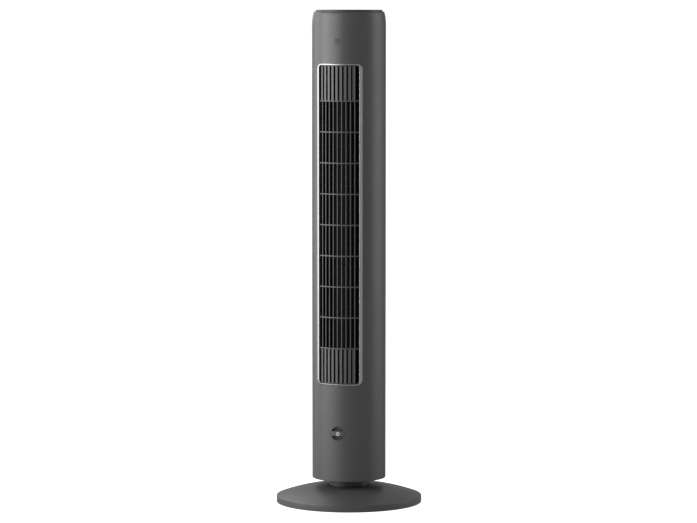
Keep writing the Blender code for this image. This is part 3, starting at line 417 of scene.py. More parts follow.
BODY_GREY = (0.088, 0.088, 0.089)
BODY_GRAIN = {"metallic": 0.35, "grain": 0.4, "relief": 0.01, "fleck": 0.35, "drift": 0.04}
body_paint = moulded("dark_grey_metal_grain", BODY_GREY, 0.4, **BODY_GRAIN)
crown = [NECK_HOLE + (DOME_RIM - NECK_HOLE) * i / 40 for i in range(41)]
lining = [LINING_R - (LINING_R - NECK_HOLE) * i / 20 for i in range(21)]
cover_corners = [(NECK_HOLE, dome_height(NECK_HOLE), 0.5)]
cover_corners += [(r, dome_height(r), 0) for r in crown[1:]]
cover_corners += [(BASE_RADIUS, dome_height(BASE_RADIUS), 1.3), (BASE_RADIUS, RIM_LOW, 0.8)]
cover_corners += [(RIM_IN, RIM_LOW, 0.3), (RIM_IN, 10, 0)]
cover_corners += [(r, dome_height(r, COVER_WALL), 0) for r in lining]
base_cover = turn("base_cover_skin", cover_corners, body_paint, 256, 8)
hand_over(smooth(base_cover, even=False), "base", "dark_grey_plastic", "base_cover")

# ---- Swivel post, its screws, slip ring, sector gear and nut -----------------------------------
# The post is a glass-filled moulding screwed up under the cover: its drum is the dark neck between
# base and tower. The tower turns on a white acetal ring round it, held down by a nut on the spigot.

neck_black = moulded("neck_satin_black", (0.018, 0.018, 0.019), 0.34, grain=0.5, relief=0.008, coat=0.15)
post_corners = [
    (58, 30, 0.3), (58, 34.3, 0.6), (43.5, 34.3, 0), (43.5, 53.2, 1.0), (15, 53.2, 0.4), (15, 66.6, 0.4),
    (12, 66.6, 0), (12, 88, 1.0), (8, 88, 0.4), (8, 50.2, 0), (40.5, 50.2, 0.6), (40.5, 30, 0.3),
]
swivel_post = turn("swivel_post_skin", post_corners, neck_black, 160)
hand_over(smooth(swivel_post), "base", "black_plastic", "swivel_post")
acetal = moulded("white_acetal", (0.78, 0.78, 0.74), 0.36, grain=0.5, relief=0.006, drift=0.05)
refinish(acetal, "slip_ring", "sector_gear", "swing_pinion")
refinish(zinc, "retaining_nut", "post_screw_1", "post_screw_2", "post_screw_3")
refinish(zinc, "swing_screw_left", "swing_screw_right")
refinish(mill_steel, "swing_shaft", "motor_shaft", "top_pin")

# ---- Turntable, swing motor and power board ----------------------------------------------------
# The turntable closes the tower from below and rides on the slip ring. The synchronous swing motor
# stands on its legs in a pressed steel can; the power board is glass-epoxy with parts soldered on.

turntable_black = moulded("turntable_black", (0.02, 0.02, 0.021), 0.55, grain=0.7, relief=0.02, drift=0.1)
refinish(turntable_black, "turntable")
can_steel = moulded("pressed_can_steel", (0.5, 0.5, 0.5), 0.3, 1.0, grain=1.5, relief=0.015, drift=0.15)
refinish(can_steel, "swing_motor", "fan_motor")
board_green = (0.018, 0.11, 0.045)
laminate = moulded("green_laminate", board_green, 0.38, grain=0.9, relief=0.015, drift=0.2, coat=0.4)
refinish(laminate, "power_board", "control_board")
lead_sleeve = moulded("lead_sleeve", (0.02, 0.02, 0.021), 0.6, grain=0.4, relief=0.02)
refinish(lead_sleeve, "panel_harness")
soft_rubber = moulded("mount_rubber", (0.014, 0.014, 0.014), 0.82, grain=0.35, relief=0.03, drift=0.12)
refinish(soft_rubber, "motor_cushion", "shaft_hub", "top_bearing")
refinish(black_plastic, "drawer_sleeve", "sounder", "top_tray")

# ---- Air path ----------------------------------------------------------------------------------
# Two decks hold the motor below and the bearing above. A curved guide and a lip, both moulded in
# black, wrap the wheel and turn the air forwards. They show as darkness behind the grille.

duct_black = moulded("duct_black", (0.011, 0.011, 0.011), 0.72, grain=0.8, relief=0.02, drift=0.1)
refinish(duct_black, "motor_deck", "bearing_deck", "air_guide", "stabiliser")

# ---- Fan wheel ---------------------------------------------------------------------------------
# The cross-flow wheel is a long drum of thin forward-curved blades, moulded in glass-filled nylon in
# short lengths that are welded together disc to disc. It is black, and turns close inside the guide.

WHEEL_Y = 8.0
WHEEL_LOW = 250.0
WHEEL_HIGH = 937.0
WHEEL_RADIUS = 43.0
WHEEL_BAYS = 8
DISC_THICK = 2.4
BLADE_COUNT = 32
BLADE_IN = 33.4
BLADE_RUN = 9.2
BLADE_HALF = 0.5
BLADE_LEAN = 0.9

rib_sizes = {"Count": "Int", "First": "Float", "Pitch": "Float"}
rib_sizes.update({"Low": "Float", "High": "Float", "Centre": "Float"})
rib_tree, given = geometry_tree("upright_ribs", rib_sizes)
ends = {"Start": xyz(rib_tree, Z=given["Low"]), "End": xyz(rib_tree, Z=given["High"])}
rib = swept(rib_tree, shape(rib_tree, "CurvePrimitiveLine", ends), given["Mesh"])
places = shape(rib_tree, "MeshLine", {"Count": given["Count"], "Offset": (0, 0, 0)}, mode="OFFSET")
steps_on = maths(rib_tree, "MULTIPLY", shape(rib_tree, "InputIndex"), given["Pitch"])
swing = xyz(rib_tree, Z=maths(rib_tree, "ADD", steps_on, given["First"]))
row = shape(rib_tree, "InstanceOnPoints", {"Points": places, "Instance": rib, "Rotation": swing})
seated = shape(rib_tree, "Transform", {"Geometry": row, "Translation": xyz(rib_tree, Y=given["Centre"])})
end_tree(rib_tree, seated, given["Material"])


def ribs(name, outline, material, count, first, pitch, low, high, centre=0.0):
    """Upright ribs of an (x, y) section in millimetres, each turned on by the pitch about the axis."""
    section = outline_mesh(name, [(x * MM, y * MM) for x, y in outline])
    sizes = {"first": first, "pitch": pitch, "low": low * MM, "high": high * MM, "centre": centre * MM}
    return grow(name, rib_tree, material, section, count=count, **sizes)


# Each blade is a shallow arc in section, 1 mm thick, that leans forwards as it nears the rim.
hollow_side, full_side = [], []
for step in range(9):
    t = step / 8
    r = BLADE_IN + BLADE_RUN * t
    a = 0.20 * math.sin(math.pi * t) + 0.16 * t
    for side, reach in ((hollow_side, -BLADE_HALF), (full_side, BLADE_HALF)):
        x = r * math.cos(a) - reach * math.sin(a + BLADE_LEAN)
        y = r * math.sin(a) + reach * math.cos(a + BLADE_LEAN)
        side.append((x, y))
wheel_nylon = moulded("wheel_nylon", (0.008, 0.008, 0.008), 0.8, grain=0.5, relief=0.02, drift=0.12)
wheel_blades = ribs(
    "wheel_blades", hollow_side + full_side[::-1], wheel_nylon, BLADE_COUNT, 0.0, FULL_TURN / BLADE_COUNT,
    WHEEL_LOW + 1, WHEEL_HIGH - 1, WHEEL_Y,
)


def piece_of(name, bm, *materials):
    """A new piece from a bmesh, which it uses up."""
    mesh = bpy.data.meshes.new(name)
    bm.to_mesh(mesh)
    bm.free()
    for material in materials:
        mesh.materials.append(material)
    return new_piece(name, mesh)


def joined(name, *parts):
    """One piece from several that share a material."""
    bm = bmesh.new()
    material = parts[0].data.materials[0]
    for part in parts:
        bm.from_mesh(part.data)
        bpy.data.objects.remove(part)
    return piece_of(name, bm, material)


wheel_parts = [wheel_blades]
bay = (WHEEL_HIGH - WHEEL_LOW - DISC_THICK) / WHEEL_BAYS
for i in range(WHEEL_BAYS + 1):
    z = WHEEL_LOW + bay * i
    top = z + DISC_THICK
    inner = 0 if i == 0 else (3.3 if i == WHEEL_BAYS else 31)
    edge = 0 if inner == 0 else 0.3
    disc = [(inner, z, edge), (WHEEL_RADIUS, z, 0.4), (WHEEL_RADIUS, top, 0.4), (inner, top, edge)]
    disc_piece = turn(f"wheel_disc_{i}", disc, wheel_nylon, 96, 3)
    disc_piece.data.transform(Matrix.Translation((0, WHEEL_Y * MM, 0)))
    wheel_parts.append(disc_piece)
fan_wheel = joined("cross_flow_wheel", *wheel_parts)
hand_over(smooth(fan_wheel, 40, even=False), "wheel", "glass_filled_nylon", "fan_wheel")

# ---- Front housing -----------------------------------------------------------------------------
# Half of the round tube, with its elliptical shoulder: a 2.4 mm moulding painted like the base. The
# outlet window, the drawer hole and seven sound holes go right through it, and a lip backs each seam.

TUBE_R = 78.5
TUBE_IN = 76.1
TUBE_LOW = 53.2
SHOULDER_LOW = 1015.5
SHOULDER_RISE = 31.0
SHOULDER_RUN = 5.4
SHOULDER_RUN_IN = 4.8
SEAM = math.radians(0.12)
WINDOW_Z = 598.2
WINDOW_HALF_W = 50.1
WINDOW_HALF_H = 339.2
WINDOW_CORNER = 11.0
DRAWER_Z = 156.2
DRAWER_R = 15.4
SOUND_Z = 984.3
SOUND_HOLE_R = 1.3
SOUND_RING = 5.1


def shoulder(radius, run, lip_edge):
    """The corners up the elliptical shoulder, from the upright wall to the lip."""
    turns = [math.radians(5 * i) for i in range(19)]
    rises = [SHOULDER_LOW + SHOULDER_RISE * math.sin(a) for a in turns]
    edges = [0] * 18 + [lip_edge]
    return [(radius - run * (1 - math.cos(a)), z, edge) for a, z, edge in zip(turns, rises, edges)]


shell_corners = [(TUBE_IN, TUBE_LOW, 0.3), (TUBE_R, TUBE_LOW, 1.4)]
shell_corners += shoulder(TUBE_R, SHOULDER_RUN, 0.4) + shoulder(TUBE_IN, SHOULDER_RUN_IN, 0.3)[::-1]


def tube_normal(p):
    """The exact outward direction of the painted tube at a place on it."""
    across = Vector((p[0], p[1], 0)).normalized()
    share = min(max((p[2] / MM - SHOULDER_LOW) / SHOULDER_RISE, 0.0), 1.0)
    if share == 0.0:
        return across
    outwards = across * math.sqrt(1 - share * share) / SHOULDER_RUN
    return (outwards + Vector((0, 0, share / SHOULDER_RISE))).normalized()


def true_normals(piece, normal_at, angle=32):
    """Gives every face that lies on a known surface its exact normals, so that cuts leave no ripples."""
    mesh = smooth(piece, angle, even=False).data
    found = np.empty(len(mesh.loops) * 3, np.float32)
    mesh.corner_normals.foreach_get("vector", found)
    found = found.reshape(-1, 3)
    for face in mesh.polygons:
        outer = math.hypot(face.center.x, face.center.y) > 70 * MM
        if outer and face.normal.dot(normal_at(face.center)) > 0.985:
            for corner in face.loop_indices:
                found[corner] = normal_at(mesh.vertices[mesh.loops[corner].vertex_index].co)
    mesh.normals_split_custom_set(found)
    return piece


def rounded_rectangle(half_w, half_h, corner, corner_steps=12, side_steps=1, top_steps=1):
    """Points round a rounded rectangle, anticlockwise from the lower right."""
    quarter = math.radians(90)

    def on_corner(sx, sz, a):
        x = sx * (half_w - corner) + corner * math.cos(a)
        return (x, sz * (half_h - corner) + corner * math.sin(a))

    points = []
    turns = [(1, -1), (1, 1), (-1, 1), (-1, -1)]
    for i, (sx, sz) in enumerate(turns):
        for k in range(corner_steps + 1):
            points.append(on_corner(sx, sz, quarter * (i - 1 + k / corner_steps)))
        fx, fz = turns[(i + 1) % 4]
        here, there = Vector(points[-1]), Vector(on_corner(fx, fz, quarter * i))
        steps = side_steps if fx == sx else top_steps
        points += [tuple(here.lerp(there, k / steps)) for k in range(1, steps)]
    return points


def round_outline(radius, steps=64):
    turns = [FULL_TURN * i / steps for i in range(steps)]
    return [(radius * math.cos(a), radius * math.sin(a)) for a in turns]


def bar(name, outline, near, far, height=0.0, rear=False):
    """A bar of an (x, z) outline in millimetres, from one distance to another in front of the axis."""
    bm = bmesh.new()
    face = bm.faces.new([bm.verts.new((x * MM, -near * MM, (z + height) * MM)) for x, z in outline])
    raised = bmesh.ops.extrude_face_region(bm, geom=[face])["geom"]
    shift = (0, -(far - near) * MM, 0)
    bmesh.ops.translate(bm, verts=[g for g in raised if isinstance(g, bmesh.types.BMVert)], vec=shift)
    if rear:
        bm.transform(Matrix.Rotation(math.pi, 4, "Z"))
    bmesh.ops.recalc_face_normals(bm, faces=bm.faces)
    return piece_of(name, bm)


def tube_tool(name, inner, outer, low, high, steps=24, **ring):
    """A plain upright tube or rod in millimetres, to cut others with."""
    corners = [(inner, low, 0), (outer, low, 0), (outer, high, 0), (inner, high, 0)]
    return turn(name, corners, body_paint, steps, **ring)


def carve(piece, *tools, operation="DIFFERENCE"):
    """Cuts the tools out of a piece, or crops it by them, and throws them away."""
    for tool in tools:
        step = piece.modifiers.new(tool.name, "BOOLEAN")
        step.operation = operation
        step.solver = "EXACT"
        step.object = tool
    settle(piece)
    for tool in tools:
        bpy.data.objects.remove(tool)
    while len(piece.data.materials) > 1:
        piece.data.materials.pop(index=len(piece.data.materials) - 1)
    piece.data.polygons.foreach_set("material_index", [0] * len(piece.data.polygons))
    return piece


def soften(piece, width, angle=50, segments=3):
    """Rounds a piece's sharp edges."""
    bevel = piece.modifiers.new("edges", "BEVEL")
    bevel.width = width * MM
    bevel.segments = segments
    bevel.limit_method = "ANGLE"
    bevel.angle_limit = math.radians(angle)
    return settle(piece)


front = turn(
    "front_housing_skin", shell_corners, body_paint, 151, 6, start=math.pi + SEAM, sweep=math.pi - 2 * SEAM
)
window = rounded_rectangle(WINDOW_HALF_W + 0.3, WINDOW_HALF_H + 0.3, WINDOW_CORNER + 0.3)
perforations = joined(
    "sound_hole_tools",
    tube_tool("ring_of_tools", 0, SOUND_HOLE_R, 60, 95, count=6, ring=SOUND_RING * MM),
    tube_tool("middle_tool", 0, SOUND_HOLE_R, 60, 95),
)
laid_forwards = Matrix.Rotation(math.radians(90), 4, "X")
perforations.data.transform(Matrix.Translation((0, 0, SOUND_Z * MM)) @ laid_forwards)
carve(
    front,
    bar("window_tool", window, 30, 95, WINDOW_Z),
    bar("drawer_tool", round_outline(DRAWER_R + 0.5, 96), 60, 95, DRAWER_Z),
    perforations,
)
soften(front, 0.3)

# The lip inside each seam runs from deck to deck. It is one with this half and laps behind the other,
# so that no light shows through.
LIP_SECTION = [(74.7, -2.6), (76.9, -2.6), (76.9, -1.3), (75.85, -1.3), (75.85, 1.5), (74.7, 1.5)]
decks = ["turntable", "motor_deck", "bearing_deck", "top_tray"]
lips = []
for below, above in zip(decks, decks[1:]):
    low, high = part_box(below)[1][2] / MM + 0.4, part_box(above)[0][2] / MM - 0.4
    for side in (1, -1):
        section = [(side * x, y) for x, y in LIP_SECTION]
        lips.append(ribs("seam_lip", section, body_paint, 1, 0.0, 0.0, low, high))
front = joined("front_housing_skin", front, *lips)
true_normals(front, tube_normal)
hand_over(front, "tower", "dark_grey_plastic", "front_housing")

# ---- Outlet trim -------------------------------------------------------------------------------
# A satin silver frame snapped into the window. It is bent to the tube: a rounded ridge runs near its
# inner edge, and a flatter slope falls from there to the painted housing.

TRIM_SIDE = 5.2
TRIM_END = 2.8
TRIM_INNER_CORNER = 6.2
TRIM_BACK_R = 74.3


def on_tube(x, z, r):
    """The place in front of the axis at that width and height above the window's middle, on that radius."""
    return (x * MM, -math.sqrt(r * r - x * x) * MM, (z + WINDOW_Z) * MM)


def band(name, outer, inner, section, place):
    """A strip between two like outlines; its section is a path of (share of the way in, height)."""
    bm = bmesh.new()
    rows = []
    for (xo, zo), (xi, zi) in zip(outer, inner):
        rows.append([bm.verts.new(place(xo + (xi - xo) * t, zo + (zi - zo) * t, h)) for t, h in section])
    for i in range(len(rows)):
        for j in range(len(section)):
            bm.faces.new((rows[i][j], rows[i - 1][j], rows[i - 1][j - 1], rows[i][j - 1]))
    bmesh.ops.recalc_face_normals(bm, faces=bm.faces)
    return piece_of(name, bm)


def finished(piece, material, angle=32, even=True):
    """Gives a hand-built piece its one material and its shading."""
    piece.data.materials.append(material)
    return smooth(piece, angle, even)


outline_steps = {"corner_steps": 16, "side_steps": 12, "top_steps": 40}
trim_outer = rounded_rectangle(WINDOW_HALF_W, WINDOW_HALF_H, WINDOW_CORNER, **outline_steps)
trim_inner = rounded_rectangle(
    WINDOW_HALF_W - TRIM_SIDE, WINDOW_HALF_H - TRIM_END, TRIM_INNER_CORNER, **outline_steps
)
trim_path = rounded_path([
    (0, TRIM_BACK_R, 0), (0, 78.7, 0.2), (3.2, 79.3, 0.5),
    (4.3, 79.3, 0.5), (5, 78.6, 0.4), (5, TRIM_BACK_R, 0),
])
satin_silver = moulded("satin_silver", (0.48, 0.48, 0.49), 0.3, 1.0, grain=0.9, relief=0.0015, drift=0.03)
trim = band("outlet_trim_skin", trim_outer, trim_inner, [(u / 5, r) for u, r in trim_path], on_tube)
hand_over(finished(trim, satin_silver), "tower", "silver_trim", "outlet_trim")

# ---- Outlet grille -----------------------------------------------------------------------------
# One moulding behind the trim, painted dark grey: nine upright slats, deep from front to back, and nine
# level bars a little in front of them. Behind their front edges all is near black, a painted shade. The end
# rows have flat ribs too.

SLATS = 9
SLAT_PITCH = math.radians(6.95)
BAR_COUNT = 9
BAR_PITCH = 65.3
GRILLE_HALF_W = 44.4
GRILLE_HALF_H = 335.9

bar_tree, given = geometry_tree(
    "level_bars",
    {"Steps": "Int", "Start": "Float", "Sweep": "Float", "Count": "Int", "Low": "Float", "Pitch": "Float"},
)
bent = swept(bar_tree, arc_path_of(bar_tree, given), given["Mesh"])
rungs = {"Start Location": xyz(bar_tree, Z=given["Low"]), "Offset": xyz(bar_tree, Z=given["Pitch"])}
levels = shape(bar_tree, "MeshLine", {"Count": given["Count"], **rungs}, mode="OFFSET")
stack = shape(bar_tree, "InstanceOnPoints", {"Points": levels, "Instance": bent})
end_tree(bar_tree, stack, given["Material"])


def bars(name, corners, material, start, sweep, count, low, pitch, steps=48):
    """Level bars bent about the axis, from (radius, height, edge radius) corners in millimetres."""
    sizes = {"steps": steps, "start": start, "sweep": sweep, "low": low * MM, "pitch": pitch * MM}
    return grow(name, bar_tree, material, upright_profile(name, corners, 4), count=count, **sizes)


def slat_outline(half, back, front, back_edge, front_edge):
    """The (x, y) section of an upright slat with rounded edges, in millimetres."""
    sides = [(-half, back, back_edge), (half, back, back_edge)]
    return rounded_path(sides + [(half, front, front_edge), (-half, front, front_edge)], 4)


def shade_below_radius(material, radius, shade_colour):
    """Keeps the paint on what lies outside a radius; inside it, a dark colour is painted on as shade."""
    tree = material.node_tree
    shader = tree.nodes["Principled BSDF"]
    painted = shader.inputs["Base Color"].links[0].from_socket
    where = node(tree, "ShaderNodeTexCoord").outputs["Object"]
    level = node(tree, "ShaderNodeVectorMath", {0: where, 1: (1, 1, 0)}, operation="MULTIPLY")
    reach = node(tree, "ShaderNodeVectorMath", {0: level.outputs[0]}, operation="LENGTH")
    border = {"From Min": (radius - 0.3) * MM, "From Max": (radius + 0.3) * MM}
    share = node(tree, "ShaderNodeMapRange", {"Value": reach.outputs["Value"], **border})
    colours = {"Fac": share.outputs[0], "Color1": (*shade_colour, 1), "Color2": painted}
    mixed = node(tree, "ShaderNodeMixRGB", colours)
    tree.links.new(mixed.outputs[0], shader.inputs["Base Color"])
    return material


grille_grey = (0.105, 0.105, 0.106)
grille_paint_and_shade = moulded("grille_dark_grey", grille_grey, 0.4, 0.35, grain=0.4, relief=0.01, drift=0.05)
# Painted shade: inside 75.6 mm from the axis, on the slats' flanks and all behind the front edges, the grey
# gives way to near black.
shade_below_radius(grille_paint_and_shade, 75.6, (0.008, 0.008, 0.008))
slat_section = slat_outline(1.05, -70.5, -77.3, 0.3, 0.7)
rib_section = rounded_path([(-4.7, -71, 0.3), (1.1, -71, 0.3), (1.1, -76.4, 0.4), (-4.7, -76.4, 0.6)], 4)
first_slat = -(SLATS - 1) / 2 * SLAT_PITCH
first_bar = WINDOW_Z - (BAR_COUNT - 1) / 2 * BAR_PITCH
last_bar = WINDOW_Z + (BAR_COUNT - 1) / 2 * BAR_PITCH
low_edge, high_edge = WINDOW_Z - GRILLE_HALF_H, WINDOW_Z + GRILLE_HALF_H
grille_reach = math.asin((GRILLE_HALF_W - 0.6) / 77.8)
frame_outer = rounded_rectangle(GRILLE_HALF_W, GRILLE_HALF_H, 5.7, **outline_steps)
frame_inner = rounded_rectangle(GRILLE_HALF_W - 1.8, GRILLE_HALF_H - 1.8, 3.9, **outline_steps)
frame_path = rounded_path([(0, 73, 0), (0, 75.6, 0.3), (1.8, 75.6, 0.3), (1.8, 73, 0)], 3)
frame_section = [(u / 1.8, r) for u, r in frame_path]
grille_frame = band("grille_frame", frame_outer, frame_inner, frame_section, on_tube)
grille_frame.data.materials.append(grille_paint_and_shade)
bar_corners = [(74.0, -1.25, 0.3), (77.8, -1.25, 0.6), (77.8, 1.25, 0.6), (74.0, 1.25, 0.3)]
uprights = (grille_paint_and_shade, SLATS, first_slat, SLAT_PITCH)
outlet_grille = joined(
    "outlet_grille_skin",
    grille_frame,
    ribs("slats", slat_section, *uprights, low_edge + 0.9, high_edge - 0.9),
    ribs("low_ribs", rib_section, *uprights, low_edge + 0.9, first_bar),
    ribs("high_ribs", rib_section, *uprights, last_bar, high_edge - 0.9),
    bars(
        "bars", bar_corners, grille_paint_and_shade, 1.5 * math.pi - grille_reach, 2 * grille_reach,
        BAR_COUNT, first_bar, BAR_PITCH,
    ),
)
hand_over(smooth(outlet_grille, even=False), "tower", "dark_grey_plastic", "outlet_grille")

# ---- Scent drawer and its drop mark ------------------------------------------------------------
# A round plug flush with the tube. Two deep recesses leave a level bar to grip it by; all of the plug below
# its face, recesses included, is painted darker as shade, and a felt pad lies in its pocket. A drop is
# printed on the bar in white.

GRIP_R = 13.9
GRIP_BAR = 10.0
GRIP_DEPTH = 7.0


def crescent(side):
    """The outline of one recess: what the grip bar leaves of a circle, above it or below it."""
    reach = math.acos(GRIP_BAR / 2 / GRIP_R)
    turns = [reach * (i / 24 - 1) for i in range(49)]
    return [(GRIP_R * math.sin(a), side * GRIP_R * math.cos(a)) for a in turns]


drawer_paint_and_shade = moulded("drawer_metal_grain", BODY_GREY, 0.4, **BODY_GRAIN)
# Painted shade: inside 76.3 mm from the axis, in the recesses and on the plug's sides, the grey gives way
# to a darker tone.
shade_below_radius(drawer_paint_and_shade, 76.3, (0.045, 0.045, 0.046))
drawer = bar("scent_drawer_skin", round_outline(DRAWER_R, 128), 38, 90, DRAWER_Z)
drawer.data.materials.append(drawer_paint_and_shade)
carve(drawer, tube_tool("drawer_envelope", 20, TUBE_R, 130, 180, 360), operation="INTERSECT")
pocket = [(-11, -8), (11, -8), (11, 30), (-11, 30)]
carve(
    drawer,
    bar("upper_recess", crescent(1), TUBE_R - GRIP_DEPTH, 95, DRAWER_Z),
    bar("lower_recess", crescent(-1), TUBE_R - GRIP_DEPTH, 95, DRAWER_Z),
    bar("pocket_tool", pocket, 47, 68, DRAWER_Z),
)
true_normals(soften(drawer, 0.35), tube_normal)
hand_over(drawer, "drawer", "dark_grey_plastic", "scent_drawer")
felt = moulded("wool_felt", (0.62, 0.6, 0.55), 0.95, grain=0.35, relief=0.12, drift=0.12)
felt.node_tree.nodes["Principled BSDF"].inputs["Sheen Weight"].default_value = 0.4
refinish(felt, "scent_pad")


def ribbon(name, path, width, height, place, closed=False):
    """A thin raised line along a (u, v) path in millimetres; place turns (u, v, height) into a point."""
    bm = bmesh.new()
    rows = []
    for i, here in enumerate(path):
        back = path[i - 1] if i or closed else here
        ahead = path[(i + 1) % len(path)] if i + 1 < len(path) or closed else here
        along = (Vector(ahead) - Vector(back)).normalized()
        side = Vector((-along.y, along.x)) * width / 2
        corners = [(side, 0), (side, height), (-side, height), (-side, 0)]
        rows.append([bm.verts.new(place(here[0] + s.x, here[1] + s.y, h)) for s, h in corners])
    for i in range(0 if closed else 1, len(rows)):
        for j in range(4):
            bm.faces.new((rows[i][j], rows[i - 1][j], rows[i - 1][j - 1], rows[i][j - 1]))
    if not closed:
        bm.faces.new(rows[0])
        bm.faces.new(rows[-1])
    bmesh.ops.recalc_face_normals(bm, faces=bm.faces)
    return piece_of(name, bm, printed_white)


def on_grip(u, v, height):
    """A place on the grip bar's curved face; the print sinks 0.2 mm into it so that no gap shows."""
    r = TUBE_R - 0.2 + height
    return (u * MM, -math.sqrt(r * r - u * u) * MM, (DRAWER_Z + v) * MM)


printed_white = moulded("printed_white", (0.95, 0.95, 0.95), 0.45, grain=0.15, relief=0.004, drift=0.03)
drop_path = []
for i in range(1, 72):
    t = math.radians(5 * i)
    drop_path.append((1.3 + 3.6 * math.sin(t) * math.sin(t / 2), 3.6 * math.cos(t)))
drop_mark = ribbon("drop_mark", [(1.3, 3.8)] + drop_path, 1.1, 0.27, on_grip, closed=True)
hand_over(smooth(drop_mark, even=False), "drawer", "white_acetal")

# ---- Rear housing ------------------------------------------------------------------------------
# The other half of the tube, in the same moulding and paint. It has the intake window, the opening of
# the carrying handle, the cord's hole and four counterbored screw seats.

RAISED = math.radians(90)
SCREW_LEVELS = (69, 1021)
SCREW_SEAT_R = 77.3
SCREW_BEARINGS = (math.radians(90 + 42), math.radians(90 - 42))
HANDLE_Z = 985.0
GLAND_Z = 92.0


def upon_radius(piece, bearing, z):
    """Lays a piece that was turned about the upright axis along a level radius."""
    lay = Matrix.Rotation(bearing, 4, "Z") @ Matrix.Rotation(RAISED, 4, "Y")
    piece.data.transform(Matrix.Translation((0, 0, z * MM)) @ lay)
    return piece


rear = turn("rear_housing_skin", shell_corners, body_paint, 151, 6, start=SEAM, sweep=math.pi - 2 * SEAM)
handle_outline = rounded_rectangle(42, 15, 9)
tools = [
    bar("intake_tool", rounded_rectangle(59.6, 336.3, 0.6, 4), 20, 95, WINDOW_Z, rear=True),
    bar("handle_tool", handle_outline, 55, 95, HANDLE_Z, rear=True),
    bar("gland_tool", round_outline(6), 60, 95, GLAND_Z, rear=True),
]
for z in SCREW_LEVELS:
    for bearing in SCREW_BEARINGS:
        tools.append(upon_radius(tube_tool("screw_seat_tool", 0, 3.7, 77, 90, 40), bearing, z))
        tools.append(upon_radius(tube_tool("screw_hole_tool", 0, 1.8, 60, 80), bearing, z))
carve(rear, *tools)
true_normals(soften(rear, 0.3), tube_normal)
hand_over(rear, "tower", "dark_grey_plastic", "rear_housing")

spots = []
for z in SCREW_LEVELS:
    for bearing in SCREW_BEARINGS:
        way = (math.cos(bearing), math.sin(bearing), 0)
        spots.append(((SCREW_SEAT_R * MM * way[0], SCREW_SEAT_R * MM * way[1], z * MM), way))
housing_screws = screws("housing_screws", spots, 3.3, 0.9, 1.4, 9)
seats = ("low_left", "low_right", "high_left", "high_right")
hand_over(housing_screws, "tower", "zinc_plated_steel", *("housing_screw_" + seat for seat in seats))

# ---- Intake grille -----------------------------------------------------------------------------
# A separate black moulding fills the rear window: fourteen upright slats and seven level bars in a
# plain frame, with rounded edges. Air is drawn in through it all the way up.

INTAKE_HALF = math.radians(49)
INTAKE_FRAME = math.radians(2.2)
INTAKE_SLAT = math.radians(2.1)
INTAKE_HALF_H = 336.0
INTAKE_SLATS = 14
INTAKE_BARS = 7
INTAKE_MID_R = 76.5
BAR_THICK = 4
END_THICK = 5
intake_black = moulded("intake_black", (0.024, 0.024, 0.025), 0.5, grain=0.6, relief=0.02, drift=0.08)
gap = (2 * (INTAKE_HALF - INTAKE_FRAME) - INTAKE_SLATS * INTAKE_SLAT) / (INTAKE_SLATS + 1)
intake_pitch = gap + INTAKE_SLAT
intake_low, intake_high = WINDOW_Z - INTAKE_HALF_H, WINDOW_Z + INTAKE_HALF_H
slat_section = slat_outline(INTAKE_MID_R * math.sin(INTAKE_SLAT / 2), 74.6, 78.3, 0.4, 0.8)
post_section = slat_outline(INTAKE_MID_R * math.sin(INTAKE_FRAME / 2), 74.6, 78.45, 0.4, 0.5)
arc = {"start": RAISED - INTAKE_HALF, "sweep": 2 * INTAKE_HALF}
end_corners = [(74.6, -2.5, 0.3), (78.5, -2.5, 0.5), (78.5, 2.5, 0.5), (74.6, 2.5, 0.3)]
level_corners = [(74.6, -2, 0.3), (78.5, -2, 0.8), (78.5, 2, 0.8), (74.6, 2, 0.3)]
bay = (2 * (INTAKE_HALF_H - END_THICK) - INTAKE_BARS * BAR_THICK) / (INTAKE_BARS + 1)
between = 2 * INTAKE_HALF - INTAKE_FRAME
intake = joined(
    "intake_grille_skin",
    ribs(
        "intake_slats", slat_section, intake_black, INTAKE_SLATS, -(INTAKE_SLATS - 1) / 2 * intake_pitch,
        intake_pitch, intake_low + END_THICK / 2, intake_high - END_THICK / 2,
    ),
    ribs(
        "intake_posts", post_section, intake_black, 2, -between / 2, between,
        intake_low + 0.3, intake_high - 0.3,
    ),
    bars(
        "intake_bars", level_corners, intake_black, count=INTAKE_BARS,
        low=intake_low + END_THICK + bay + BAR_THICK / 2, pitch=bay + BAR_THICK, **arc,
    ),
    bars(
        "intake_ends", end_corners, intake_black, count=2, low=intake_low + END_THICK / 2,
        pitch=2 * INTAKE_HALF_H - END_THICK, **arc,
    ),
)
hand_over(smooth(intake, even=False), "tower", "black_plastic", "intake_grille")

# ---- Carrying handle cup -----------------------------------------------------------------------
# A deep black cup behind the handle opening, for the fingers. Its rim fits the inside of the tube.

cup = bar("handle_cup_skin", rounded_rectangle(44.5, 17.5, 10), 42, 80, HANDLE_Z, rear=True)
cup.data.materials.append(black_plastic)
carve(cup, tube_tool("cup_envelope", 30, 75.9, 950, 1010, 240), operation="INTERSECT")
carve(cup, bar("cup_tool", handle_outline, 44.5, 90, HANDLE_Z, rear=True))
soften(cup, 0.8)
hand_over(smooth(cup, even=False), "tower", "black_plastic", "handle_cup")

# ---- Cord gland --------------------------------------------------------------------------------
# A soft rubber ring snapped into its hole low on the back. The mains cord would leave through it.

gland_corners = [
    (3.4, 84, 0.3), (5.2, 84, 0.5), (9, 81, 0.5), (9, 78.9, 0.2), (5.7, 78.9, 0.1), (5.7, 75.6, 0.1),
    (8, 75.6, 0.3), (8, 72, 0.5), (3.4, 72, 0.3),
]
gland = turn("cord_gland_skin", gland_corners, rubber, 64)
gland.data.transform(Matrix.Translation((0, 0, GLAND_Z * MM)) @ Matrix.Rotation(-RAISED, 4, "X"))
hand_over(smooth(gland), "tower", "black_rubber", "cord_gland")

# ---- Control panel -----------------------------------------------------------------------------
# A smooth satin black disc closes the top of the tube inside the shoulder, with a fine shadow line
# round it. Five round holes let the keys through.

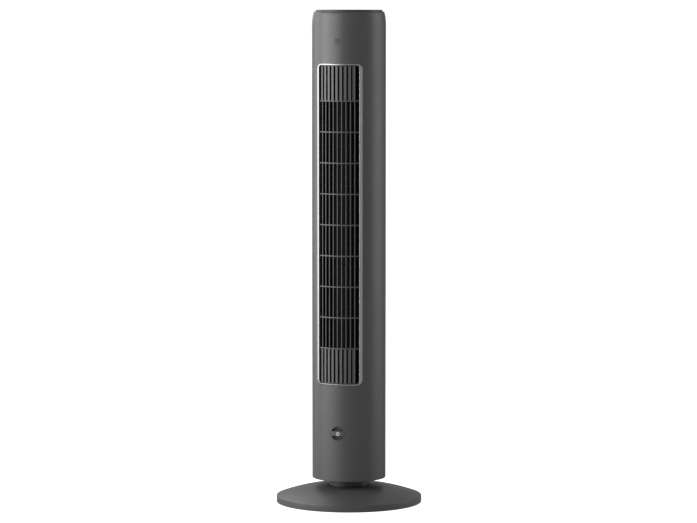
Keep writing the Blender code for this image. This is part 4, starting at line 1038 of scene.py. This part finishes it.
PANEL_R = 70.8
PANEL_LOW = 1044.4
PANEL_TOP = 1050.0
KEY_TOP = 1049.6
KEY_RING = 46
KEYS = {"key_power": (0.0, 0.0, 11.0)}
for name, degrees in (("key_timer", -135), ("key_speed", -105), ("key_swing", -75), ("key_mode", -45)):
    bearing = math.radians(degrees)
    KEYS[name] = (KEY_RING * math.cos(bearing), KEY_RING * math.sin(bearing), 8.2)
panel_satin = moulded("panel_satin", (0.045, 0.045, 0.046), 0.34, 0.2, grain=0.6, relief=0.003, drift=0.05)
panel = turn(
    "control_panel_skin",
    [(0, PANEL_LOW, 0), (PANEL_R, PANEL_LOW, 0.3), (PANEL_R, PANEL_TOP, 1.0), (0, PANEL_TOP, 0)],
    panel_satin, 192, 8,
)
tools = []
for name, (x, y, radius) in KEYS.items():
    tool = tube_tool(name + "_tool", 0, radius + 0.5, 1040, 1060, 72)
    tool.data.transform(Matrix.Translation((x * MM, y * MM, 0)))
    tools.append(tool)
carve(panel, *tools)
hand_over(smooth(soften(panel, 0.25, 60)), "tower", "panel_gloss", "control_panel")

# ---- Keys and their marks ----------------------------------------------------------------------
# Round satin caps, slightly dished for the fingertip, each held under the panel by a flange. A plain
# pictogram is printed on each in white, and reads from the front.

key_satin = moulded("key_satin", (0.05, 0.05, 0.051), 0.36, 0.2, grain=0.3, relief=0.006, drift=0.05)


def arc_path(radius, start, end, step=6, centre=(0, 0)):
    """Points round an arc, in degrees anticlockwise from the right."""
    count = max(2, round(abs(end - start) / step))
    turns = [math.radians(start + (end - start) * i / count) for i in range(count + 1)]
    return [(centre[0] + radius * math.cos(a), centre[1] + radius * math.sin(a)) for a in turns]


def fan_blade(turned_by):
    """One blade of the speed mark: a closed leaf shape that curls round the hub."""
    leaf = arc_path(1.9, 100, 350, 14, (1.0, 2.1))
    spun = Matrix.Rotation(math.radians(turned_by), 2)
    return [tuple(spun @ Vector(p)) for p in leaf]


MARKS = {
    "key_power": [(arc_path(4.2, 125, 415), False), ([(0, 1.6), (0, 5.6)], False)],
    "key_timer": [(arc_path(3.6, 0, 354), True), ([(0, 2.3), (0, 0), (1.8, 0)], False)],
    "key_speed": [(fan_blade(a), False) for a in (0, 120, 240)] + [(arc_path(0.55, 0, 330, 30), True)],
    "key_swing": [
        (arc_path(3.6, 210, 330), False), ([(-4.4, -0.2), (-3.2, -1.8), (-1.5, -1.0)], False),
        ([(4.4, -0.2), (3.2, -1.8), (1.5, -1.0)], False), ([(0, 2.6), (0, -0.6)], False),
    ],
    "key_mode": [
        ([(x / 5, level + 0.7 * math.sin(x / 3.2)) for x in range(-18, 19)], False) for level in (-2, 0, 2)
    ],
}
for name, (x, y, radius) in KEYS.items():
    flange = radius + 1.4
    corners = [
        (0, 1035, 0), (3, 1035, 0.2), (3, PANEL_LOW - 1.5, 0.2), (flange, PANEL_LOW - 1.5, 0.2),
        (flange, PANEL_LOW - 0.3, 0.2), (radius, PANEL_LOW - 0.3, 0.1), (radius, KEY_TOP, 0.6),
        (radius - 1.2, KEY_TOP, 0), (radius * 0.6, KEY_TOP - 0.18, 0), (radius * 0.3, KEY_TOP - 0.28, 0),
        (0, KEY_TOP - 0.3, 0),
    ]
    cap = turn(name + "_cap", corners, key_satin, 96)
    cap.data.transform(Matrix.Translation((x * MM, y * MM, 0)))
    hand_over(smooth(cap, even=False), name, "key_plastic", name)

    def on_key(u, v, height):
        dish = 0.3 * (1 - min(1.0, math.hypot(u, v) / (radius - 1.2)) ** 2)
        return ((x + u) * MM, (y + v) * MM, (KEY_TOP - dish - 0.1 + height) * MM)

    lines = [ribbon("line", path, 0.7, 0.14, on_key, closed) for path, closed in MARKS[name]]
    hand_over(smooth(joined(name + "_mark", *lines), even=False), name, "white_acetal")

# ---- Floor, light and camera -------------------------------------------------------------------
# A white studio floor with soft light, most of it from the left. The camera stands in front and to the
# right, a little above the top panel.


def stand(thing, place, aim):
    """Puts a lamp or the camera in its place and turns it to what it faces."""
    bpy.context.scene.collection.objects.link(thing)
    thing.location = place
    thing.rotation_euler = (Vector(aim) - Vector(place)).to_track_quat("-Z", "Y").to_euler()


def softbox(name, size, place, aim, power):
    light = bpy.data.lights.new(name, "AREA")
    light.shape = "RECTANGLE"
    light.size, light.size_y = size
    light.energy = power
    lamp = bpy.data.objects.new(name, light)
    lamp.visible_camera = False
    stand(lamp, place, aim)


def around(bearing, distance, height):
    """A place round the fan; bearing 0 is straight in front, and it grows to the right."""
    a = math.radians(bearing)
    return (distance * math.sin(a), -distance * math.cos(a), height)


CAMERA_BEARING = 18.5
CAMERA_DISTANCE = 6.75
CAMERA_HEIGHT = 1.10
CAMERA_AIM = (-0.001, -0.0003, 0.5156)
CAMERA_LENS = 164.33  # in millimetres
LAMP_DISTANCE = 2.6
LAMP_SIZE = (0.9, 2.6)
LAMP_AIM = (0, 0, 0.55)
PAPER_HALF = 60

floor = bpy.data.meshes.new("studio_floor")
edges_of_paper = [(x * PAPER_HALF, y * PAPER_HALF, 0) for x, y in ((-1, -1), (1, -1), (1, 1), (-1, 1))]
floor.from_pydata(edges_of_paper, [], [(0, 1, 2, 3)])
floor_piece = new_piece("studio_floor", floor)
paper = bpy.data.materials.new("white_paper")
paper.use_nodes = True
paper_shader = paper.node_tree.nodes["Principled BSDF"]
fibre = node(paper.node_tree, "ShaderNodeTexNoise", {"Scale": 300.0, "Detail": 3.0})
fibre_bump = node(paper.node_tree, "ShaderNodeBump", {"Height": fibre.outputs["Fac"], "Distance": 0.0001})
paper.node_tree.links.new(fibre_bump.outputs[0], paper_shader.inputs["Normal"])
paper_shader.inputs["Base Color"].default_value = (0.6, 0.6, 0.6, 1)
paper_shader.inputs["Roughness"].default_value = 0.9
paper_shader.inputs["Emission Color"].default_value = (1, 1, 1, 1)
paper_shader.inputs["Emission Strength"].default_value = 1.0
floor.materials.append(paper)
floor_piece.visible_diffuse = False  # it reads as white paper but throws no light up at the fan
floor_piece.visible_glossy = False
floor_piece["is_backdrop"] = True

# Tall softboxes stand in an arc on the left, with a dimmer pair on the right; the strip a little right
# of the camera stays dark. One, high up behind on the left, lights the rim of the base. Each is given by
# its bearing from the camera, its power and the height of its middle.
LAMPS = (
    (-40, 15, 1.15), (-60, 22, 1.15), (-80, 34, 1.15), (-100, 10, 1.15), (-120, 18, 1.15), (-155, 14, 2.1),
    (90, 11, 1.15), (110, 8, 1.15),
)
for bearing, power, height in LAMPS:
    place = around(CAMERA_BEARING + bearing, LAMP_DISTANCE, height)
    softbox(f"softbox_{bearing % 360}", LAMP_SIZE, place, LAMP_AIM, power)

world = bpy.data.worlds.new("studio")
bpy.context.scene.world = world
world.use_nodes = True
sky = world.node_tree
seen = sky.nodes["Background"]
seen.inputs["Color"].default_value = (1, 1, 1, 1)
seen.inputs["Strength"].default_value = 1.1
room = node(sky, "ShaderNodeBackground", {"Color": (1, 1, 1, 1), "Strength": 0.345})
ray = node(sky, "ShaderNodeLightPath")
choice = {0: ray.outputs["Is Camera Ray"], 1: room.outputs[0], 2: seen.outputs[0]}
blend = node(sky, "ShaderNodeMixShader", choice)
sky.links.new(blend.outputs[0], sky.nodes["World Output"].inputs["Surface"])

lens = bpy.data.cameras.new("camera")
lens.lens = CAMERA_LENS
lens.clip_end = 200
camera = bpy.data.objects.new("camera", lens)
stand(camera, around(CAMERA_BEARING, CAMERA_DISTANCE, CAMERA_HEIGHT), CAMERA_AIM)
bpy.context.scene.camera = camera
bpy.context.scene.view_settings.view_transform = "Standard"

low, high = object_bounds()
